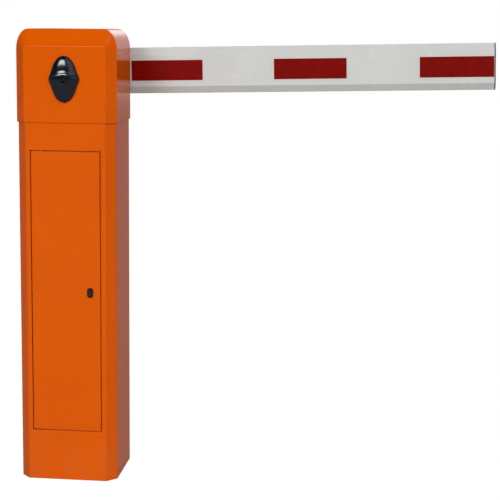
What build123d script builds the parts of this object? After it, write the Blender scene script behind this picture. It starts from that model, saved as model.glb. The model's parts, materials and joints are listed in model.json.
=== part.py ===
"""Parking barrier gate: a steel cabinet with a lift-off hood, and a boom behind it that swings up.

Millimetres. X runs along the closed boom, Y runs from the door to the back, and Z is up.
The origin is on the ground, at the centre of the four anchor slots in the base plate.
"""

from build123d import *
from math import acos, cos, pi, radians, sin, sqrt, tan
import os

os.makedirs("parts", exist_ok=True)

# ---------------------------------------------------------------- driving dimensions
WIDTH = 220.0
DEPTH = 184.0
HEIGHT = 1015.0
BEVEL = 21.0
FOLD_RADIUS = 4.0
SHEET = 2.5
BODY_TOP = 835.0

HOOD_SHEET = 2.0
HOOD_OVERHANG = 2.5
HOOD_BOTTOM = 810.0
HOOD_TOP_BEVEL = 38.0
HOOD_CORNER_WIDTH = 28.0
HOOD_CORNER_HEIGHT = 45.0

DOOR_LEFT = -77.2
DOOR_RIGHT = 77.2
DOOR_BOTTOM = 116.0
DOOR_TOP = 747.0
DOOR_GAP = 2.0
PIVOT_X = -68.7
PIVOT_Y = -85.0
PIVOT_PIN_RADIUS = 3.0
LIP_BACK = -84.0
LOCK_X = 54.4
LOCK_Z = 432.5

AXIS_Z = 911.0
SHAFT_RADIUS = 15.0
RUNNING_FIT = 0.05
BODY_GAP = 0.3
OPENING_ANGLE = 88.0

BEARING_BOLT = 36.0
MODULE = 2.0
GEAR_TEETH = 64
PINION_TEETH = 16
GEAR_BACKLASH = 0.25
MESH_ANGLE = 290.0
CENTRE_DISTANCE = MODULE * (GEAR_TEETH + PINION_TEETH) / 2 + 0.1
PINION_X = CENTRE_DISTANCE * cos(radians(MESH_ANGLE))
PINION_Z = AXIS_Z + CENTRE_DISTANCE * sin(radians(MESH_ANGLE))

LEVER_LENGTH = 65.0
LEVER_ANGLE = 135.0
SPRING_X = LEVER_LENGTH * cos(radians(LEVER_ANGLE))
SPRING_Y = 64.0
LEVER_PIN_Z = AXIS_Z + LEVER_LENGTH * sin(radians(LEVER_ANGLE))
SPRING_LOW_RING_Z = 235.0
SPRING_HIGH_RING_Z = 755.0
SPRING_RADIUS = 16.0
RING_RADIUS = 8.0
SPRING_WIRE_RADIUS = 2.5
EYE_WIRE_RADIUS = 3.0
LINK_PITCH = 2 * RING_RADIUS - SPRING_WIRE_RADIUS - EYE_WIRE_RADIUS - BODY_GAP

FRAME_SHEET = 4.0
FRAME_FRONT = 20.0
FRAME_BACK = 76.0
FRAME_HALF_WIDTH = 99.0
FRAME_BOTTOM = 330.0
FRAME_TOP = 985.0
WALL_INSIDE = WIDTH / 2 - SHEET
STUD_Y = 50.0
STUD_LEVELS = (400.0, 780.0)
STUD_LENGTH = 14.0

BOOM_RISE = 1.4
BOOM_OFFSET = 4.4
BOOM_HEIGHT = 106.5
BOOM_DEPTH = 44.0
BOOM_CHAMFER_HEIGHT = 16.0
BOOM_CHAMFER_DEPTH = 10.0
BOOM_WALL = 2.5
BOOM_EDGE_RADIUS = 1.5
HUB_FRONT = 102.0
HUB_THICKNESS = 10.0
HOLDER_WEB = 12.0
BOOM_FRONT = HUB_FRONT + HUB_THICKNESS + HOLDER_WEB
BOOM_START = -76.0
BOOM_END = 941.5
STRIP_START = 106.0
STRIP_PITCH = 333.7
STRIP_LENGTH = 167.5
STRIP_HEIGHT = 47.0
STRIP_THICKNESS = 0.5

ANCHOR_SPACING_X = 160.0
ANCHOR_SPACING_Y = 116.0
ANCHOR_SLOT_WIDTH = 13.0
ANCHOR_SLOT_LENGTH = 26.0

FRONT = -DEPTH / 2
HOOD_WIDTH = WIDTH + 2 * HOOD_OVERHANG
HOOD_DEPTH = DEPTH + 2 * HOOD_OVERHANG
HOOD_FRONT = -HOOD_DEPTH / 2


# ---------------------------------------------------------------- helpers
def front_plane(y):
    """An upright plane at depth y: sketch x is X, sketch y is Z, and it extrudes to the front."""
    return Plane(origin=(0, y, 0), x_dir=(1, 0, 0), z_dir=(0, -1, 0))


def axis_plane(y):
    """The same plane centred on the shaft's axis, which the boom turns about."""
    return Plane(origin=(0, y, AXIS_Z), x_dir=(1, 0, 0), z_dir=(0, -1, 0))


def boom_plane(y):
    """An upright plane at depth y, centred in the boom and turned to run along it."""
    rise = radians(BOOM_RISE)
    origin = (-BOOM_OFFSET * sin(rise), y, AXIS_Z + BOOM_OFFSET * cos(rise))
    return Plane(origin=origin, x_dir=(cos(rise), 0, sin(rise)), z_dir=(0, -1, 0))


def level_plane(x, y, z):
    """A level plane centred on a point."""
    return Plane(origin=(x, y, z), x_dir=(1, 0, 0), z_dir=(0, 0, 1))


def side_plane(x):
    """An upright plane at x: sketch x is Y, sketch y is Z, and it extrudes towards +X."""
    return Plane(origin=(x, 0, 0), x_dir=(0, 1, 0), z_dir=(1, 0, 0))


def stud_plane(side, distance, level):
    """A plane across a stud of the mechanism frame, facing the middle of the cabinet."""
    return Plane(origin=(side * distance, STUD_Y, level), x_dir=(0, 1, 0), z_dir=(-side, 0, 0))


def bevelled_outline(width, depth, bevel, radius):
    """A rectangle with bevelled and slightly rounded corners."""
    with BuildSketch(mode=Mode.PRIVATE) as outline:
        Rectangle(width, depth)
        chamfer(outline.vertices(), bevel)
        fillet(outline.vertices(), radius)
    return outline.sketch


def inner_bevel(bevel, wall):
    """The bevel of a shell's inside, where the shell is the same thickness all round."""
    return bevel - wall * (2 - sqrt(2))


def rectangle_between(low_x, high_x, low_y, high_y, mode=Mode.ADD):
    """A sketch rectangle given by its edges."""
    with Locations(((low_x + high_x) / 2, (low_y + high_y) / 2)):
        Rectangle(high_x - low_x, high_y - low_y, mode=mode)


def hood_outline(half_width, top, corner, bottom):
    """The hood seen from the front: upright sides and a level top, joined by elliptical corners."""
    side_top = top - corner[1]
    flat_end = half_width - corner[0]
    with BuildSketch(mode=Mode.PRIVATE) as outline:
        with BuildLine():
            Line((-half_width, bottom), (half_width, bottom))
            Line((half_width, bottom), (half_width, side_top))
            EllipticalCenterArc((flat_end, side_top), *corner, start_angle=0, arc_size=90)
            Line((flat_end, top), (-flat_end, top))
            EllipticalCenterArc((-flat_end, side_top), *corner, start_angle=90, arc_size=90)
            Line((-half_width, side_top), (-half_width, bottom))
        make_face()
    return outline.sketch


def hood_block(inset, bottom):
    """The solid inside the hood's outline, pulled in by a distance, with bevels at front and back."""
    half_width = HOOD_WIDTH / 2 - inset
    half_depth = HOOD_DEPTH / 2 - inset
    top = HEIGHT - inset
    bevel = inner_bevel(BEVEL, inset)
    top_bevel = inner_bevel(HOOD_TOP_BEVEL, inset)
    corner = (HOOD_CORNER_WIDTH - inset, HOOD_CORNER_HEIGHT - inset)
    face_corner = (corner[0] - bevel, corner[1] - top_bevel)
    with BuildPart() as block:
        with BuildSketch(front_plane(half_depth - bevel)):
            add(hood_outline(half_width, top, corner, bottom))
        extrude(amount=2 * (half_depth - bevel))
        for side in (-1, 1):
            with BuildSketch(front_plane(side * (half_depth - bevel))):
                add(hood_outline(half_width, top, corner, bottom))
            with BuildSketch(front_plane(side * half_depth)):
                add(hood_outline(half_width - bevel, top - top_bevel, face_corner, bottom))
            loft(ruled=True)
    return block.part


def tooth_points(teeth, centre_angle):
    """One involute tooth, from its left root to its right root, about the gear's centre."""
    pitch = MODULE * teeth / 2
    base = pitch * cos(radians(20))
    root = pitch - 1.25 * MODULE
    tip = pitch + MODULE
    pitch_half_angle = pi / (2 * teeth) - GEAR_BACKLASH / (2 * pitch)

    def involute(radius):
        pressure = acos(min(1.0, base / radius))
        return tan(pressure) - pressure

    def half_angle(radius):
        return pitch_half_angle + involute(pitch) - involute(max(radius, base))

    start = max(root, base)
    radii = [root] + [start + (tip - start) * step / 3 for step in range(4)]
    centre = radians(centre_angle)
    rising = [(r * cos(centre - half_angle(r)), r * sin(centre - half_angle(r))) for r in radii]
    falling = [(r * cos(centre + half_angle(r)), r * sin(centre + half_angle(r))) for r in radii[::-1]]
    if root >= base - 0.01:
        return rising[1:] + falling[:-1]
    return rising + falling


def flange_bearing_outline():
    """The oval flange of a two-bolt bearing housing, tall way up."""
    with BuildSketch(mode=Mode.PRIVATE) as outline:
        upper = [(30, 0), (12, BEARING_BOLT), (-12, BEARING_BOLT), (-30, 0)]
        lower = [(-12, -BEARING_BOLT), (12, -BEARING_BOLT)]
        Polygon(*upper, *lower, align=None)
        with Locations((0, BEARING_BOLT), (0, -BEARING_BOLT)):
            Circle(12)
        Circle(30)
    return outline.sketch


# ---------------------------------------------------------------- cabinet
with BuildPart() as cabinet_body:
    with BuildSketch():
        add(bevelled_outline(WIDTH, DEPTH, BEVEL, FOLD_RADIUS))
    extrude(amount=BODY_TOP)
    with BuildSketch():
        inside = (WIDTH - 2 * SHEET, DEPTH - 2 * SHEET)
        add(bevelled_outline(*inside, inner_bevel(BEVEL, SHEET), FOLD_RADIUS - 2))
    extrude(amount=BODY_TOP, mode=Mode.SUBTRACT)
    with BuildSketch(front_plane(FRONT + 2 * SHEET)):
        rectangle_between(
            DOOR_LEFT - DOOR_GAP, DOOR_RIGHT + DOOR_GAP, DOOR_BOTTOM - DOOR_GAP, DOOR_TOP + DOOR_GAP
        )
    extrude(amount=3 * SHEET, mode=Mode.SUBTRACT)
    for side in (-1, 1):
        for level in STUD_LEVELS:
            with BuildSketch(stud_plane(side, WALL_INSIDE + 1, level)):
                Circle(8)
            extrude(amount=WALL_INSIDE + 1 - FRAME_HALF_WIDTH)
            with BuildSketch(stud_plane(side, FRAME_HALF_WIDTH, level)):
                Circle(4)
            extrude(amount=STUD_LENGTH)
cabinet_body.part.label = "cabinet_body"
export_step(cabinet_body.part, "parts/cabinet_body.step")

BASE_THICKNESS = 8.0
with BuildPart() as base_plate:
    with BuildSketch():
        add(bevelled_outline(WIDTH - 2 * SHEET - 0.4, DEPTH - 2 * SHEET - 0.4, inner_bevel(BEVEL, SHEET), 2))
        Rectangle(92, 82, mode=Mode.SUBTRACT)
        with GridLocations(ANCHOR_SPACING_X, ANCHOR_SPACING_Y, 2, 2):
            SlotOverall(ANCHOR_SLOT_LENGTH, ANCHOR_SLOT_WIDTH, mode=Mode.SUBTRACT)
    extrude(amount=BASE_THICKNESS)
base_plate.part.label = "base_plate"
export_step(base_plate.part, "parts/base_plate.step")

# The frame round the doorway has no hinge side, where the door's edge swings inwards.
FRAME_RIGHT = 86.0
FRAME_LEFT = -55.0
LIP_THICKNESS = 2.0
LIP_INNER_X = 68.0
LIP_INNER_TOP = 739.0
LIP_INNER_BOTTOM = 124.0
RIM_CLEARANCE = 1.5
with BuildPart() as door_frame:
    with BuildSketch(front_plane(LIP_BACK - LIP_THICKNESS)):
        rectangle_between(FRAME_LEFT, FRAME_RIGHT, DOOR_BOTTOM - 15, DOOR_TOP + 15)
        rectangle_between(
            FRAME_LEFT - 1,
            DOOR_RIGHT + DOOR_GAP + RIM_CLEARANCE,
            DOOR_BOTTOM - DOOR_GAP - RIM_CLEARANCE,
            DOOR_TOP + DOOR_GAP + RIM_CLEARANCE,
            mode=Mode.SUBTRACT,
        )
    extrude(amount=LIP_BACK - LIP_THICKNESS - (FRONT + SHEET))
    with BuildSketch(front_plane(LIP_BACK)):
        rectangle_between(FRAME_LEFT, FRAME_RIGHT, DOOR_BOTTOM - 15, DOOR_TOP + 15)
        rectangle_between(FRAME_LEFT - 1, LIP_INNER_X, LIP_INNER_BOTTOM, LIP_INNER_TOP, mode=Mode.SUBTRACT)
    extrude(amount=LIP_THICKNESS)
door_frame.part.label = "door_frame"
export_step(door_frame.part, "parts/door_frame.step")

SEAL_WIDTH = 5.0
with BuildPart() as door_seal:
    with BuildSketch(front_plane(LIP_BACK - LIP_THICKNESS)):
        rectangle_between(FRAME_LEFT, LIP_INNER_X + 7, LIP_INNER_BOTTOM - 7, LIP_INNER_TOP + 7)
        rectangle_between(
            FRAME_LEFT - 1,
            LIP_INNER_X + 7 - SEAL_WIDTH,
            LIP_INNER_BOTTOM - 7 + SEAL_WIDTH,
            LIP_INNER_TOP + 7 - SEAL_WIDTH,
            mode=Mode.SUBTRACT,
        )
    extrude(amount=LIP_BACK - LIP_THICKNESS - (FRONT + SHEET) - BODY_GAP)
door_seal.part.label = "door_seal"
export_step(door_seal.part, "parts/door_seal.step")

BRACKET_THICKNESS = 5.0
BRACKET_LEVELS = (DOOR_BOTTOM - DOOR_GAP - 1.5 - BRACKET_THICKNESS, DOOR_TOP + DOOR_GAP + 1.5)
with BuildPart() as pivot_brackets:
    for level in BRACKET_LEVELS:
        with BuildSketch(Plane.XY.offset(level)):
            rectangle_between(-84, -60, FRONT + SHEET, -78)
            with Locations((PIVOT_X, PIVOT_Y)):
                Circle(PIVOT_PIN_RADIUS + RUNNING_FIT, mode=Mode.SUBTRACT)
        extrude(amount=BRACKET_THICKNESS)
pivot_brackets.part.label = "pivot_brackets"
export_step(pivot_brackets.part, "parts/pivot_brackets.step")

# ---------------------------------------------------------------- door
LUG_HEIGHT = 9.5
with BuildPart() as door_panel:
    with BuildSketch(front_plane(FRONT + SHEET)):
        rectangle_between(DOOR_LEFT, DOOR_RIGHT, DOOR_BOTTOM, DOOR_TOP)
        with Locations((LOCK_X, LOCK_Z)):
            Circle(6.6, mode=Mode.SUBTRACT)
    extrude(amount=SHEET)
    for level in (DOOR_BOTTOM + 0.5, DOOR_TOP - 0.5 - LUG_HEIGHT):
        with BuildSketch(Plane.XY.offset(level)):
            rectangle_between(-74, -63, FRONT + SHEET, -79.5)
            with Locations((PIVOT_X, PIVOT_Y)):
                Circle(PIVOT_PIN_RADIUS + 0.02, mode=Mode.SUBTRACT)
        extrude(amount=LUG_HEIGHT)
door_panel.part.label = "door_panel"
export_step(door_panel.part, "parts/door_panel.step")

with BuildPart() as pivot_pins:
    bracket_top = BRACKET_LEVELS[1] + BRACKET_THICKNESS
    for low, high in ((BRACKET_LEVELS[0], DOOR_BOTTOM + 10), (DOOR_TOP - 10, bracket_top)):
        with BuildSketch(level_plane(PIVOT_X, PIVOT_Y, low - 1)):
            Circle(PIVOT_PIN_RADIUS)
        extrude(amount=high - low + 2)
pivot_pins.part.label = "pivot_pins"
export_step(pivot_pins.part, "parts/pivot_pins.step")

with BuildPart() as door_stiffeners:
    for level in (235.0, 620.0):
        with BuildSketch(side_plane(-50)):
            with BuildLine():
                Polyline(
                    (FRONT + SHEET, level - 20),
                    (FRONT + SHEET, level - 8),
                    (FRONT + SHEET + 8, level - 8),
                    (FRONT + SHEET + 8, level + 8),
                    (FRONT + SHEET, level + 8),
                    (FRONT + SHEET, level + 20),
                    (FRONT + SHEET + 1.5, level + 20),
                    (FRONT + SHEET + 1.5, level + 9.5),
                    (FRONT + SHEET + 9.5, level + 9.5),
                    (FRONT + SHEET + 9.5, level - 9.5),
                    (FRONT + SHEET + 1.5, level - 9.5),
                    (FRONT + SHEET + 1.5, level - 20),
                    close=True,
                )
            make_face()
        extrude(amount=108)
door_stiffeners.part.label = "door_stiffeners"
export_step(door_stiffeners.part, "parts/door_stiffeners.step")

LOCK_FACE = FRONT - 2.2
with BuildPart() as door_lock_body:
    with BuildSketch(front_plane(FRONT)):
        with Locations((LOCK_X, LOCK_Z)):
            SlotOverall(23, 14, rotation=90)
    extrude(amount=FRONT - LOCK_FACE)
    fillet(door_lock_body.faces().sort_by(Axis.Y)[0].outer_wire().edges(), 0.8)
    with BuildSketch(front_plane(LIP_BACK - 0.2)):
        with Locations((LOCK_X, LOCK_Z)):
            Circle(6.4)
    extrude(amount=LIP_BACK - 0.2 - FRONT)
    with BuildSketch(front_plane(LIP_BACK)):
        with Locations((LOCK_X, LOCK_Z)):
            Circle(4.5 + RUNNING_FIT)
    extrude(amount=LIP_BACK - LOCK_FACE + 1, mode=Mode.SUBTRACT)
door_lock_body.part.label = "door_lock_body"
export_step(door_lock_body.part, "parts/door_lock_body.step")

with BuildPart() as door_lock_nut:
    with BuildSketch(front_plane(FRONT + SHEET + 4)):
        with Locations((LOCK_X, LOCK_Z)):
            RegularPolygon(11, 6)
            Circle(6.45, mode=Mode.SUBTRACT)
    extrude(amount=4)
door_lock_nut.part.label = "door_lock_nut"
export_step(door_lock_nut.part, "parts/door_lock_nut.step")

CAM_FRONT = LIP_BACK + 0.6
CAM_THICKNESS = 2.5
with BuildPart() as door_lock_barrel:
    with BuildSketch(front_plane(CAM_FRONT)):
        with Locations((LOCK_X, LOCK_Z)):
            Circle(4.5)
    extrude(amount=CAM_FRONT - (LOCK_FACE + 0.6))
    with BuildSketch(front_plane(CAM_FRONT + CAM_THICKNESS)):
        with Locations((LOCK_X, LOCK_Z)):
            Rectangle(6, 6)
    extrude(amount=CAM_THICKNESS)
    with BuildSketch(front_plane(CAM_FRONT + CAM_THICKNESS + 3)):
        with Locations((LOCK_X, LOCK_Z)):
            RegularPolygon(5.5, 6)
    extrude(amount=3)
    with BuildSketch(front_plane(LOCK_FACE + 0.6 + 5)):
        with Locations((LOCK_X, LOCK_Z)):
            Rectangle(1.6, 6)
    extrude(amount=6, mode=Mode.SUBTRACT)
door_lock_barrel.part.label = "door_lock_barrel"
export_step(door_lock_barrel.part, "parts/door_lock_barrel.step")

with BuildPart() as door_lock_cam:
    with BuildSketch(front_plane(CAM_FRONT + CAM_THICKNESS)):
        with Locations((LOCK_X, LOCK_Z)):
            Circle(8)
        rectangle_between(LOCK_X - 7, LOCK_X + 7, LOCK_Z - 28, LOCK_Z)
        with Locations((LOCK_X, LOCK_Z)):
            Rectangle(6.1, 6.1, mode=Mode.SUBTRACT)
    extrude(amount=CAM_THICKNESS)
    fillet(door_lock_cam.edges().filter_by(Axis.Y).sort_by(Axis.Z)[:2], 4)
door_lock_cam.part.label = "door_lock_cam"
export_step(door_lock_cam.part, "parts/door_lock_cam.step")

# ---------------------------------------------------------------- hood
HOOD_SLOT_RADIUS = 26.0
LOCK_THREAD_RADIUS = 13.0
hood_outer = hood_block(0, HOOD_BOTTOM)
hood_inner = hood_block(HOOD_SHEET, HOOD_BOTTOM - 1)
with BuildPart() as hood:
    add(hood_outer)
    add(hood_inner, mode=Mode.SUBTRACT)
    with BuildSketch(front_plane(HOOD_DEPTH / 2 + 1)):
        rectangle_between(-HOOD_SLOT_RADIUS, HOOD_SLOT_RADIUS, HOOD_BOTTOM - 1, AXIS_Z)
        with Locations((0, AXIS_Z)):
            Circle(HOOD_SLOT_RADIUS)
    extrude(amount=HOOD_SHEET + 2, mode=Mode.SUBTRACT)
    with BuildSketch(front_plane(HOOD_FRONT + HOOD_SHEET + 1)):
        with Locations((0, AXIS_Z)):
            Circle(LOCK_THREAD_RADIUS + 0.2)
    extrude(amount=HOOD_SHEET + 2, mode=Mode.SUBTRACT)
hood.part.label = "hood"
export_step(hood.part, "parts/hood.step")

COVER_CENTRE_Z = AXIS_Z - 5
COVER_RIM = 5.0
COVER_HEIGHT = 14.0
BARREL_RADIUS = 8.0


def cover_outline():
    """The release lock's cover: a tall oval, drawn out to a point at each side."""
    with BuildSketch(mode=Mode.PRIVATE) as outline:
        with BuildLine():
            ThreePointArc((34, 0), (24.5, 28), (12, 46.5))
            ThreePointArc((12, 46.5), (0, 51), (-12, 46.5))
            ThreePointArc((-12, 46.5), (-24.5, 28), (-34, 0))
            ThreePointArc((-34, 0), (-25, -27), (-12, -46))
            ThreePointArc((-12, -46), (0, -51), (12, -46))
            ThreePointArc((12, -46), (25, -27), (34, 0))
        make_face()
    return outline.sketch


COVER_PLANE = Plane(origin=(0, HOOD_FRONT, COVER_CENTRE_Z), x_dir=(1, 0, 0), z_dir=(0, -1, 0))
with BuildPart() as release_cover:
    with BuildSketch(COVER_PLANE):
        add(cover_outline())
    extrude(amount=COVER_RIM)
    with BuildSketch(COVER_PLANE.offset(COVER_RIM)):
        add(cover_outline())
    extrude(amount=COVER_HEIGHT - COVER_RIM, taper=42)
    with BuildSketch(axis_plane(HOOD_FRONT)):
        Circle(LOCK_THREAD_RADIUS + 0.2)
    extrude(amount=6, mode=Mode.SUBTRACT)
    with BuildSketch(axis_plane(HOOD_FRONT)):
        Circle(BARREL_RADIUS + 1)
    extrude(amount=COVER_HEIGHT + 1, mode=Mode.SUBTRACT)
release_cover.part.label = "release_cover"
export_step(release_cover.part, "parts/release_cover.step")

RELEASE_BODY_BACK = -76.0
with BuildPart() as release_lock_body:
    with BuildSketch(axis_plane(RELEASE_BODY_BACK)):
        Circle(LOCK_THREAD_RADIUS)
        Circle(BARREL_RADIUS + RUNNING_FIT, mode=Mode.SUBTRACT)
    extrude(amount=RELEASE_BODY_BACK - HOOD_FRONT + 5.8)
release_lock_body.part.label = "release_lock_body"
export_step(release_lock_body.part, "parts/release_lock_body.step")

with BuildPart() as release_lock_nut:
    with BuildSketch(axis_plane(HOOD_FRONT + HOOD_SHEET + 6)):
        RegularPolygon(19, 6)
        Circle(LOCK_THREAD_RADIUS + 0.05, mode=Mode.SUBTRACT)
    extrude(amount=6)
release_lock_nut.part.label = "release_lock_nut"
export_step(release_lock_nut.part, "parts/release_lock_nut.step")

BARREL_FRONT = HOOD_FRONT - 9.5
BLADE_BACK = -56.0
with BuildPart() as release_barrel:
    with BuildSketch(axis_plane(RELEASE_BODY_BACK + 2)):
        Circle(BARREL_RADIUS)
    extrude(amount=RELEASE_BODY_BACK + 2 - BARREL_FRONT)
    with BuildSketch(axis_plane(BLADE_BACK)):
        Rectangle(2, 11)
    extrude(amount=BLADE_BACK - RELEASE_BODY_BACK - 2)
    with BuildSketch(axis_plane(BARREL_FRONT + 6)):
        Rectangle(2.6, 10)
    extrude(amount=7, mode=Mode.SUBTRACT)
release_barrel.part.label = "release_barrel"
export_step(release_barrel.part, "parts/release_barrel.step")

# ---------------------------------------------------------------- mechanism frame
LIP_START = 79.0
REDUCER_SCREWS = [(PINION_X + side * 25, z) for side in (-1, 1) for z in (809, 852)]
BRACKET_SCREWS = [(-12, 977), (22, 977)]
PLATE_SCREWS = [(side * 87, z) for side in (-1, 1) for z in (858, 959)]
BRACKET_SHEET = 4.0
LEAD_X = 66.0
LEAD_Z = 745.0
LEAD_RADIUS = 3.5
BEARING_OUTER = 26.0
FRAME_REAR_FACE = FRAME_FRONT + FRAME_SHEET
with BuildPart() as mechanism_frame:
    with BuildSketch(Plane.XY.offset(FRAME_BOTTOM)):
        rectangle_between(-FRAME_HALF_WIDTH, FRAME_HALF_WIDTH, FRAME_FRONT, FRAME_BACK)
        web = FRAME_HALF_WIDTH - FRAME_SHEET
        rectangle_between(-web, web, FRAME_REAR_FACE, FRAME_BACK - FRAME_SHEET, mode=Mode.SUBTRACT)
        rectangle_between(-LIP_START, LIP_START, FRAME_REAR_FACE, FRAME_BACK + 1, mode=Mode.SUBTRACT)
    extrude(amount=FRAME_TOP - FRAME_BOTTOM)
    with BuildSketch(axis_plane(FRAME_BACK)):
        Circle(22)
        with Locations((0, BEARING_BOLT), (0, -BEARING_BOLT)):
            Circle(5.2)
        with Locations((PINION_X, PINION_Z - AXIS_Z)):
            Circle(12)
        with Locations(*[(x, z - AXIS_Z) for x, z in REDUCER_SCREWS]):
            Circle(3.3)
        with Locations(*[(x, z - AXIS_Z) for x, z in BRACKET_SCREWS]):
            Circle(2.7)
        with Locations((LEAD_X, LEAD_Z - AXIS_Z)):
            Circle(LEAD_RADIUS + 1)
    extrude(amount=FRAME_BACK - FRAME_FRONT + 1, mode=Mode.SUBTRACT)
    with BuildSketch(front_plane(FRAME_BACK)):
        with Locations(*PLATE_SCREWS):
            Circle(3.3)
    extrude(amount=FRAME_SHEET, mode=Mode.SUBTRACT)
    with BuildSketch(side_plane(-WIDTH / 2)):
        with Locations(*[(STUD_Y, level) for level in STUD_LEVELS]):
            Circle(4.3)
    extrude(amount=WIDTH, mode=Mode.SUBTRACT)
mechanism_frame.part.label = "mechanism_frame"
export_step(mechanism_frame.part, "parts/mechanism_frame.step")

REAR_PLATE_THICKNESS = 6.0
REAR_PLATE_BACK = FRAME_BACK + REAR_PLATE_THICKNESS
REAR_PLATE_BOTTOM = 845.0
REAR_PLATE_TOP = 972.0
with BuildPart() as rear_bearing_plate:
    with BuildSketch(front_plane(REAR_PLATE_BACK)):
        rectangle_between(-94, 94, REAR_PLATE_BOTTOM, REAR_PLATE_TOP)
        with Locations((0, AXIS_Z)):
            Circle(22, mode=Mode.SUBTRACT)
        with Locations((0, AXIS_Z + BEARING_BOLT), (0, AXIS_Z - BEARING_BOLT)):
            Circle(5.2, mode=Mode.SUBTRACT)
        with Locations(*PLATE_SCREWS):
            Circle(3.3, mode=Mode.SUBTRACT)
    extrude(amount=REAR_PLATE_THICKNESS)
    fillet(rear_bearing_plate.edges().filter_by(Axis.Y).group_by(Axis.X)[0], 6)
    fillet(rear_bearing_plate.edges().filter_by(Axis.Y).group_by(Axis.X)[-1], 6)
rear_bearing_plate.part.label = "rear_bearing_plate"
export_step(rear_bearing_plate.part, "parts/rear_bearing_plate.step")

SLOT_COVER_BACK = 92.0
SLOT_COVER_THICKNESS = 2.0
SLOT_COVER_BOTTOM = BODY_TOP + 0.5
with BuildPart() as slot_cover:
    with BuildSketch(front_plane(SLOT_COVER_BACK)):
        rectangle_between(-46, 46, SLOT_COVER_BOTTOM, 962)
        with Locations((0, AXIS_Z)):
            Circle(19, mode=Mode.SUBTRACT)
    extrude(amount=SLOT_COVER_THICKNESS)
    with BuildSketch(front_plane(SLOT_COVER_BACK - SLOT_COVER_THICKNESS)):
        with Locations(*[(x, z) for x in (-38, 38) for z in (852, 950)]):
            Circle(5)
    extrude(amount=SLOT_COVER_BACK - SLOT_COVER_THICKNESS - REAR_PLATE_BACK)
slot_cover.part.label = "slot_cover"
export_step(slot_cover.part, "parts/slot_cover.step")

# Each bearing housing stands on its plate, and its boss points to the middle of the shaft.
HOUSING_FLANGE = 6.0
FRONT_HOUSING_END = 42.0
REAR_HOUSING_END = 60.0
with BuildPart() as bearing_housings:
    for flange_front, boss_front, boss_back in (
        (FRAME_REAR_FACE, FRAME_REAR_FACE, FRONT_HOUSING_END),
        (FRAME_BACK - HOUSING_FLANGE, REAR_HOUSING_END, FRAME_BACK),
    ):
        with BuildSketch(axis_plane(flange_front + HOUSING_FLANGE)):
            add(flange_bearing_outline())
        extrude(amount=HOUSING_FLANGE)
        with BuildSketch(axis_plane(boss_back)):
            Circle(30)
        extrude(amount=boss_back - boss_front)
        with BuildSketch(axis_plane(boss_back)):
            Circle(BEARING_OUTER)
            with Locations((0, BEARING_BOLT), (0, -BEARING_BOLT)):
                Circle(5.2)
        extrude(amount=boss_back - boss_front, mode=Mode.SUBTRACT)
bearing_housings.part.label = "bearing_housings"
export_step(bearing_housings.part, "parts/bearing_housings.step")

BEARING_WIDTH = 14.0
with BuildPart() as shaft_bearings:
    for back in (FRONT_HOUSING_END - 1, FRAME_BACK - 1):
        with BuildSketch(axis_plane(back)):
            Circle(BEARING_OUTER - 0.02)
            Circle(SHAFT_RADIUS + RUNNING_FIT, mode=Mode.SUBTRACT)
        extrude(amount=BEARING_WIDTH)
        for groove_back in (back, back - BEARING_WIDTH + 1):
            with BuildSketch(axis_plane(groove_back)):
                Circle(22)
                Circle(18.5, mode=Mode.SUBTRACT)
            extrude(amount=1, mode=Mode.SUBTRACT)
shaft_bearings.part.label = "shaft_bearings"
export_step(shaft_bearings.part, "parts/shaft_bearings.step")


# ---------------------------------------------------------------- gearmotor and its pinion
REDUCER_BACK = 74.0
REDUCER_TOP = 860.0
REDUCER_BOTTOM = 800.0
PINION_SHAFT_RADIUS = 7.0
PINION_SHAFT_BACK = 50.0
GEAR_BACK = 6.0
GEAR_WIDTH = 16.0
MOTOR_Y = 53.0
MOTOR_BOTTOM = 680.0
with BuildPart() as gear_reducer:
    with BuildSketch(front_plane(REDUCER_BACK)):
        rectangle_between(PINION_X - 32, PINION_X + 32, REDUCER_BOTTOM, REDUCER_TOP)
    extrude(amount=REDUCER_BACK - FRAME_REAR_FACE)
    fillet(gear_reducer.edges().filter_by(Axis.Y), 5)
    fillet(gear_reducer.faces().sort_by(Axis.Y)[-1].outer_wire().edges(), 3)
    with BuildSketch(front_plane(FRAME_REAR_FACE)):
        with Locations((PINION_X, PINION_Z)):
            Circle(11.7)
    extrude(amount=FRAME_SHEET)
    with BuildSketch(front_plane(REDUCER_BACK)):
        with Locations((PINION_X, PINION_Z)):
            Circle(16)
    extrude(amount=-1.5)
    with BuildSketch(front_plane(PINION_SHAFT_BACK + 1)):
        with Locations((PINION_X, PINION_Z)):
            Circle(PINION_SHAFT_RADIUS + RUNNING_FIT)
    extrude(amount=PINION_SHAFT_BACK, mode=Mode.SUBTRACT)
    with BuildSketch(front_plane(FRAME_REAR_FACE + 14)):
        with Locations(*REDUCER_SCREWS):
            Circle(3)
    extrude(amount=15, mode=Mode.SUBTRACT)
gear_reducer.part.label = "gear_reducer"
export_step(gear_reducer.part, "parts/gear_reducer.step")

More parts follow.
